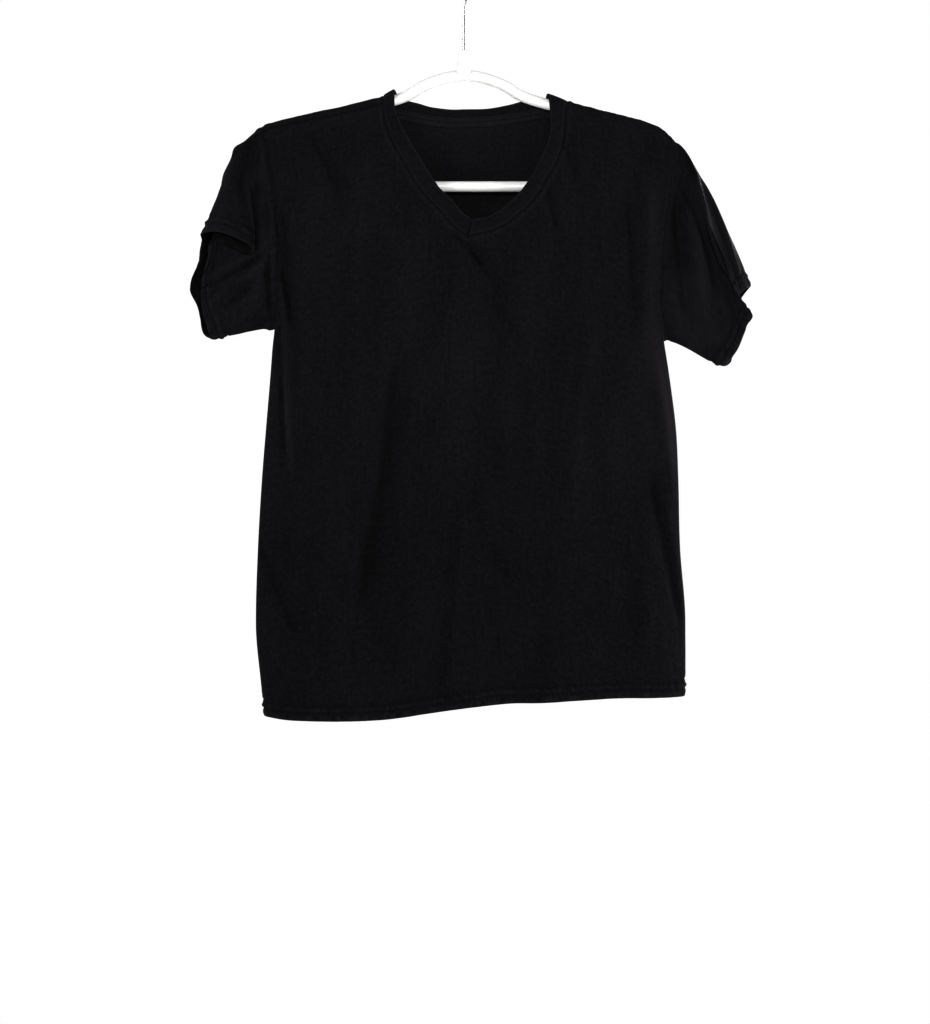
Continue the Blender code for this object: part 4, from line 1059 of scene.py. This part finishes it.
def make_hook():
    """Shank, bend and loop of one wire, with a rounded tip."""
    centre = WIRE - LOOP
    start_down = -(centre - LOOP * cos(LOOP_START)) + NECK_BEND * sin(pi / 2 - LOOP_START)
    path = [(0.0, 0.0, -down) for down in (BOSS_TOP + SHANK_IN, BOSS_TOP, (BOSS_TOP + start_down) / 2)]
    for turn in np.linspace(0, pi / 2 - LOOP_START, 16):
        path.append((NECK_BEND * (1 - cos(turn)), 0.0, -start_down + NECK_BEND * sin(turn)))
    for turn in np.linspace(LOOP_START, LOOP_END, 73)[1:]:
        path.append((LOOP * sin(turn), 0.0, centre - LOOP * cos(turn)))
    radii = [WIRE] * len(path)
    # the tip: how far along it, and share of the wire's radius
    tip = ((0.35, 0.97), (0.8, 0.88), (1.2, 0.7), (1.5, 0.45), (1.7, 0.12))
    del path[-1], radii[-1]
    for far, share in tip:
        turn = LOOP_END + (far - tip[-1][0]) / LOOP
        path.append((LOOP * sin(turn), 0.0, centre - LOOP * cos(turn)))
        radii.append(WIRE * share)
    loops = tube_loops(path, np.array(radii), WIRE_SIDES)
    faces, _ = grid_faces(len(loops), WIRE_SIDES, ring_along=True)
    last = len(path) * WIRE_SIDES - 1
    faces = faces.tolist() + [list(range(WIRE_SIDES)), [last - k for k in range(WIRE_SIDES)]]
    return add_mesh("hook_wire", loops.reshape(-1, 3), faces, sharp=40)


# ---------------------------------------------------------------- materials

# the pale ends are the colours that wear and painted light reach
BLACK, BLACK_WORN_AND_LIT = (0.0078, 0.0071, 0.0083), (0.0260, 0.0239, 0.0273)
TAPE_BLACK, TAPE_WORN_AND_LIT = (0.0086, 0.0080, 0.0091), (0.0290, 0.0266, 0.0305)


class Finish:
    """A material with short ways to add and join its nodes."""

    def __init__(self, name):
        self.material = bpy.data.materials.new(name)
        self.material.use_nodes = True
        self.nodes = self.material.node_tree.nodes
        self.links = self.material.node_tree.links
        self.shader = self.nodes["Principled BSDF"]

    def feed(self, socket, value):
        if isinstance(value, bpy.types.NodeSocket):
            self.links.new(value, socket)
        else:
            socket.default_value = value

    def add(self, kind, settings=None, **inputs):
        """A node; i0 is its first input, and a space in an input's name is written _."""
        node = self.nodes.new("ShaderNode" + kind)
        for key, value in (settings or {}).items():
            setattr(node, key, value)
        for key, value in inputs.items():
            self.feed(node.inputs[int(key[1:]) if key[1:].isdigit() else key.replace("_", " ")], value)
        return node

    def math(self, operation, *values):
        node = self.add("Math", {"operation": operation})
        for socket, value in zip(node.inputs, values):
            self.feed(socket, value)
        return node.outputs[0]

    def mix(self, factor, a, b):
        return self.add("Mix", {"data_type": "RGBA"}, i0=factor, i6=a, i7=b).outputs[2]

    def ramp(self, value, low, high):
        """0 below low and 1 above high."""
        return self.add("MapRange", {"interpolation_type": "SMOOTHSTEP"}, Value=value,
                        From_Min=low, From_Max=high).outputs[0]

    def stretch(self, coordinates, across, along):
        """Coordinates with waves of these sizes, in metres."""
        return self.add("Mapping", i0=coordinates, Scale=(1 / across, 1 / along, 1)).outputs[0]

    def noise(self, coordinates, detail=2.0, roughness=0.5):
        return self.add("TexNoise", i0=coordinates, Scale=1.0, Detail=detail, Roughness=roughness).outputs[0]

    def grit(self, scale, **settings):
        """Noise in the object's own space, with this many waves a metre along X, Y and Z."""
        where = self.add("TexCoord").outputs["Object"]
        return self.noise(self.add("Mapping", i0=where, Scale=scale).outputs[0], **settings)

    def put(self, name, value):
        self.feed(self.shader.inputs[name], value)

    def bump(self, height, distance, strength, **under):
        return self.add("Bump", Height=height, Distance=distance, Strength=strength, **under).outputs[0]


def knit(name, dark, light, wale, course, pile):
    """Worn cotton knit: wales and courses at a pitch in metres, mottled colour, pile and a little lint, with
    a colour that follows the mesh's wear and its painted light and shade.
    """
    made = Finish(name)
    cloth = made.add("UVMap", {"uv_map": "cloth"}).outputs[0]
    wear_and_light = made.add("Attribute", {"attribute_name": "wear_and_light"}).outputs["Fac"]
    wobble = made.noise(made.stretch(cloth, 0.02, 0.05), detail=1.0)
    wales, courses = (
        made.add("TexWave", {"wave_type": "BANDS", "bands_direction": way}, i0=cloth,
                 Scale=pi / 10 / pitch, Distortion=0.8, Detail=1.0).outputs["Fac"]
        for way, pitch in (("X", wale), ("Y", course)))
    loops = made.math("MULTIPLY", wales, made.math("MULTIPLY_ADD", courses, 0.6, 0.5))
    grain = made.noise(made.stretch(cloth, 0.0042, 0.0048), detail=4.0, roughness=0.75)
    streak = made.noise(made.stretch(cloth, 0.0034, 0.022), detail=2.0)
    patch = made.noise(made.stretch(cloth, 0.05, 0.08), detail=4.0)
    tone = made.math("MULTIPLY_ADD", grain, 1.02, -0.12)
    # the mesh attribute brings wear, painted highlights and painted shade into the tone
    for value, weight in ((streak, 0.22), (patch, 0.2), (wobble, 0.08), (wear_and_light, 0.8)):
        tone = made.math("MULTIPLY_ADD", value, weight, tone)
    colour = made.mix(made.ramp(tone, 0.2, 1.15), (*dark, 1), (*light, 1))
    cells = made.add("TexVoronoi", {"feature": "F1"}, i0=made.stretch(cloth, 0.016, 0.012), Scale=1.0)
    chance = made.add("SeparateColor", Color=cells.outputs["Color"]).outputs[0]
    speck = made.math("MULTIPLY", made.math("LESS_THAN", cells.outputs["Distance"], 0.045),
                      made.math("GREATER_THAN", chance, 0.72))
    colour = made.mix(made.math("MULTIPLY", speck, 0.5), colour, (0.055, 0.053, 0.052, 1))
    made.put("Base Color", colour)
    made.put("Roughness", 0.92)
    made.put("Specular IOR Level", 0.06)
    made.put("Sheen Weight", pile)
    made.put("Sheen Roughness", 0.35)
    made.put("Sheen Tint", (0.86, 0.88, 1.0, 1.0))
    loops_bump = made.bump(loops, 0.00025, 0.5)
    made.put("Normal", made.bump(grain, 0.0006, 0.6, Normal=loops_bump))
    return made.material


def thread(name):
    made = Finish(name)
    twist = made.grit((2200, 2200, 2200), detail=1.0)
    made.put("Base Color", made.mix(twist, (0.005, 0.005, 0.0055, 1), (0.011, 0.0105, 0.012, 1)))
    made.put("Roughness", 0.7)
    made.put("Specular IOR Level", 0.1)
    made.put("Normal", made.bump(twist, 0.0001, 0.5))
    return made.material


def plastic(name):
    """White moulded plastic, slightly wavy, with faint handling scuffs."""
    made = Finish(name)
    cloud = made.grit((24, 24, 24), detail=3.0)
    scuff = made.grit((70, 400, 400), detail=4.0, roughness=0.7)
    made.put("Base Color", made.mix(cloud, (0.91, 0.91, 0.895, 1), (0.88, 0.88, 0.86, 1)))
    made.put("Roughness", made.math("MULTIPLY_ADD", made.ramp(scuff, 0.55, 0.7), 0.16, 0.26))
    made.put("Specular IOR Level", 0.3)
    made.put("Subsurface Weight", 0.3)
    made.put("Subsurface Radius", (1.0, 1.0, 0.95))
    made.put("Subsurface Scale", 0.003)
    waves = made.bump(cloud, 0.0006, 0.25)
    made.put("Normal", made.bump(scuff, 0.00006, 0.3, Normal=waves))
    return made.material


def steel(name):
    """Grey wire with the fine lines of drawing along it."""
    made = Finish(name)
    lines = made.grit((1800, 1800, 60))
    made.put("Base Color", made.mix(lines, (0.55, 0.55, 0.56, 1), (0.42, 0.42, 0.43, 1)))
    made.put("Metallic", 1.0)
    made.put("Roughness", made.math("MULTIPLY_ADD", lines, 0.2, 0.12))
    made.put("Normal", made.bump(lines, 0.00005, 0.35))
    return made.material


def pale(name, colour):
    made = Finish(name)
    darker = tuple(c * 0.98 for c in colour)
    made.put("Base Color", made.mix(made.grit((3, 3, 3)), (*colour, 1), (*darker, 1)))
    made.put("Roughness", 0.9)
    return made.material


# ---------------------------------------------------------------- the scene

CAMERA_AT = (0.001, -2.3, -0.584)     # metres
LENS, SENSOR = 77.0, 36.0
FLOOR_Z, FLOOR_RADIUS = -1.7, 2.0     # metres
AIM = Vector((0.0, 0.0, -0.48))

Lamp = namedtuple("Lamp", "name at size power colour")
LAMPS = (
    Lamp("front", (0.15, -3.3, -0.1), 0.8, 68, (1.0, 1.0, 1.0)),
    Lamp("key", (2.8, -0.9, -0.2), 1.5, 52, (1.0, 0.995, 0.985)),
    Lamp("fill", (-2.3, -1.5, 0.6), 1.1, 32, (0.985, 0.99, 1.0)),
    Lamp("kicker", (1.2, 0.25, -0.8), 0.3, 8, (1.0, 1.0, 1.0)),
    Lamp("rim", (2.2, 0.9, 0.9), 1.2, 8, (1.0, 1.0, 1.0)),
    Lamp("rim_left", (-2.4, 0.6, 1.0), 1.0, 34, (1.0, 1.0, 1.0)),
    Lamp("back", (1.2, 2.9, 0.4), 1.2, 250, (1.0, 1.0, 1.0)),
)
WORLD_LIGHT = 0.18
DARKS = 0.68          # gamma: below 1, the picture's shadows are deeper


def make_camera():
    data = bpy.data.cameras.new("camera")
    data.lens, data.sensor_width = LENS, SENSOR
    made = link("camera", data)
    made.location = CAMERA_AT
    made.rotation_euler = (pi / 2, 0, 0)
    bpy.context.scene.camera = made


def make_lamps():
    for lamp in LAMPS:
        data = bpy.data.lights.new(lamp.name, "AREA")
        data.shape, data.size = "DISK", lamp.size
        data.energy, data.color = lamp.power, lamp.colour
        made = link(lamp.name, data)
        made.location = lamp.at
        made.rotation_euler = (AIM - Vector(lamp.at)).to_track_quat("-Z", "Y").to_euler()


def make_world():
    """An even pale room: white where it is seen, softer as light."""
    world = bpy.data.worlds.new("studio")
    bpy.context.scene.world = world
    world.use_nodes = True
    nodes, links = world.node_tree.nodes, world.node_tree.links
    seen = nodes["Background"]
    seen.inputs["Color"].default_value = (1, 1, 1, 1)
    seen.inputs["Strength"].default_value = 1.0
    light = nodes.new("ShaderNodeBackground")
    light.inputs["Color"].default_value = (0.98, 0.99, 1.0, 1)
    light.inputs["Strength"].default_value = WORLD_LIGHT
    ray = nodes.new("ShaderNodeLightPath")
    mix = nodes.new("ShaderNodeMixShader")
    links.new(ray.outputs["Is Camera Ray"], mix.inputs[0])
    links.new(light.outputs[0], mix.inputs[1])
    links.new(seen.outputs[0], mix.inputs[2])
    links.new(mix.outputs[0], nodes["World Output"].inputs["Surface"])
    bpy.context.scene.view_settings.view_transform = "Standard"
    bpy.context.scene.view_settings.gamma = DARKS


def make_floor():
    turns = 2 * pi * np.arange(96) / 96
    points = np.stack([FLOOR_RADIUS * np.cos(turns), FLOOR_RADIUS * np.sin(turns), np.full(96, FLOOR_Z)], -1)
    made = add_mesh("floor", points / MM, [tuple(range(96))])
    made.data.materials.append(pale("floor", (0.86, 0.86, 0.86)))


def own(piece, material, slot, *nodes):
    """Gives a piece its finish and body, and hides the CAD nodes it stands for; slot is not used."""
    piece.data.materials.append(material)
    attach(piece, "root")
    if nodes:
        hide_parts(*nodes)


def main():
    jersey = knit("jersey_finish", BLACK, BLACK_WORN_AND_LIT, 0.00095, 0.0008, 0.05)
    ribbing = knit("rib_finish", BLACK, BLACK_WORN_AND_LIT, 0.0013, 0.0008, 0.05)
    taping = knit("tape_finish", TAPE_BLACK, TAPE_WORN_AND_LIT, 0.0016, 0.0012, 0.06)
    sewing = thread("thread_finish")

    panels = {side: panel_grid(side) for side in (-1, 1)}
    cloths = {}
    for side, name, node in ((-1, "front_cloth", "front_panel"), (1, "back_cloth", "back_panel")):
        cloths[name] = add_shell(name, panels[side], PAINTED_LIGHT_INSIDE)
        own(cloths[name], jersey, "jersey", node)
    sleeves = (
        ("sleeve_left", 0, SLEEVE_LEFT, REACH_LEFT, SLEEVE_LEFT_FOLDS + SLEEVE_LEFT_CREASES,
         SLEEVE_LEFT_CROWN, SLEEVE_ARMHOLES[0], -1, 3.0),
        ("sleeve_right", -1, SLEEVE_RIGHT, REACH_RIGHT, SLEEVE_RIGHT_FOLDS + SLEEVE_RIGHT_CREASES,
         (), SLEEVE_ARMHOLES[1], 1, 29.0),
    )
    sleeve_grids = {}
    for node, at, lines, reach, folds, crown, seam, out, seed in sleeves:
        ring_outer, ring_inner = armhole_ring(panels, at)
        grid = sleeve_grid(ring_outer, ring_inner, lines, reach, folds, crown, seam, out, seed)
        name = node + "_cloth"
        # painted shade on the sleeve's inner face
        cloths[name] = add_shell(name, grid, PAINTED_SHADE_INSIDE, ring=True)
        own(cloths[name], jersey, "jersey", node)
        sleeve_grids[node] = grid

    rib = make_rib()
    own(rib, ribbing, "rib", "neck_rib")
    tape = make_tape()
    own(tape, taping, "tape", "back_neck_tape")

    threads = {}
    for side, name in ((-1, "front_hem_stitches"), (1, "back_hem_stitches")):
        runs = [line_above(panels[side], line) for line in STITCH_LINES]
        threads[name] = add_stitches(name, [(p[2:-2], n[2:-2]) for p, n in runs])
    for node, grid in sleeve_grids.items():
        name = node + "_stitches"
        runs = [line_above(grid, line) for line in STITCH_LINES]
        threads[name] = add_stitches(name, [(np.vstack([p, p[:1]]), np.vstack([n, n[:1]])) for p, n in runs])
    for piece in threads.values():
        own(piece, sewing, "jersey")

    hanger = make_hanger()
    own(hanger, plastic("plastic_finish"), "hanger_plastic", "hanger")
    hook = make_hook()
    own(hook, steel("steel_finish"), "hook_steel", "hanger_hook")

    make_camera()
    make_lamps()
    make_world()
    make_floor()


main()
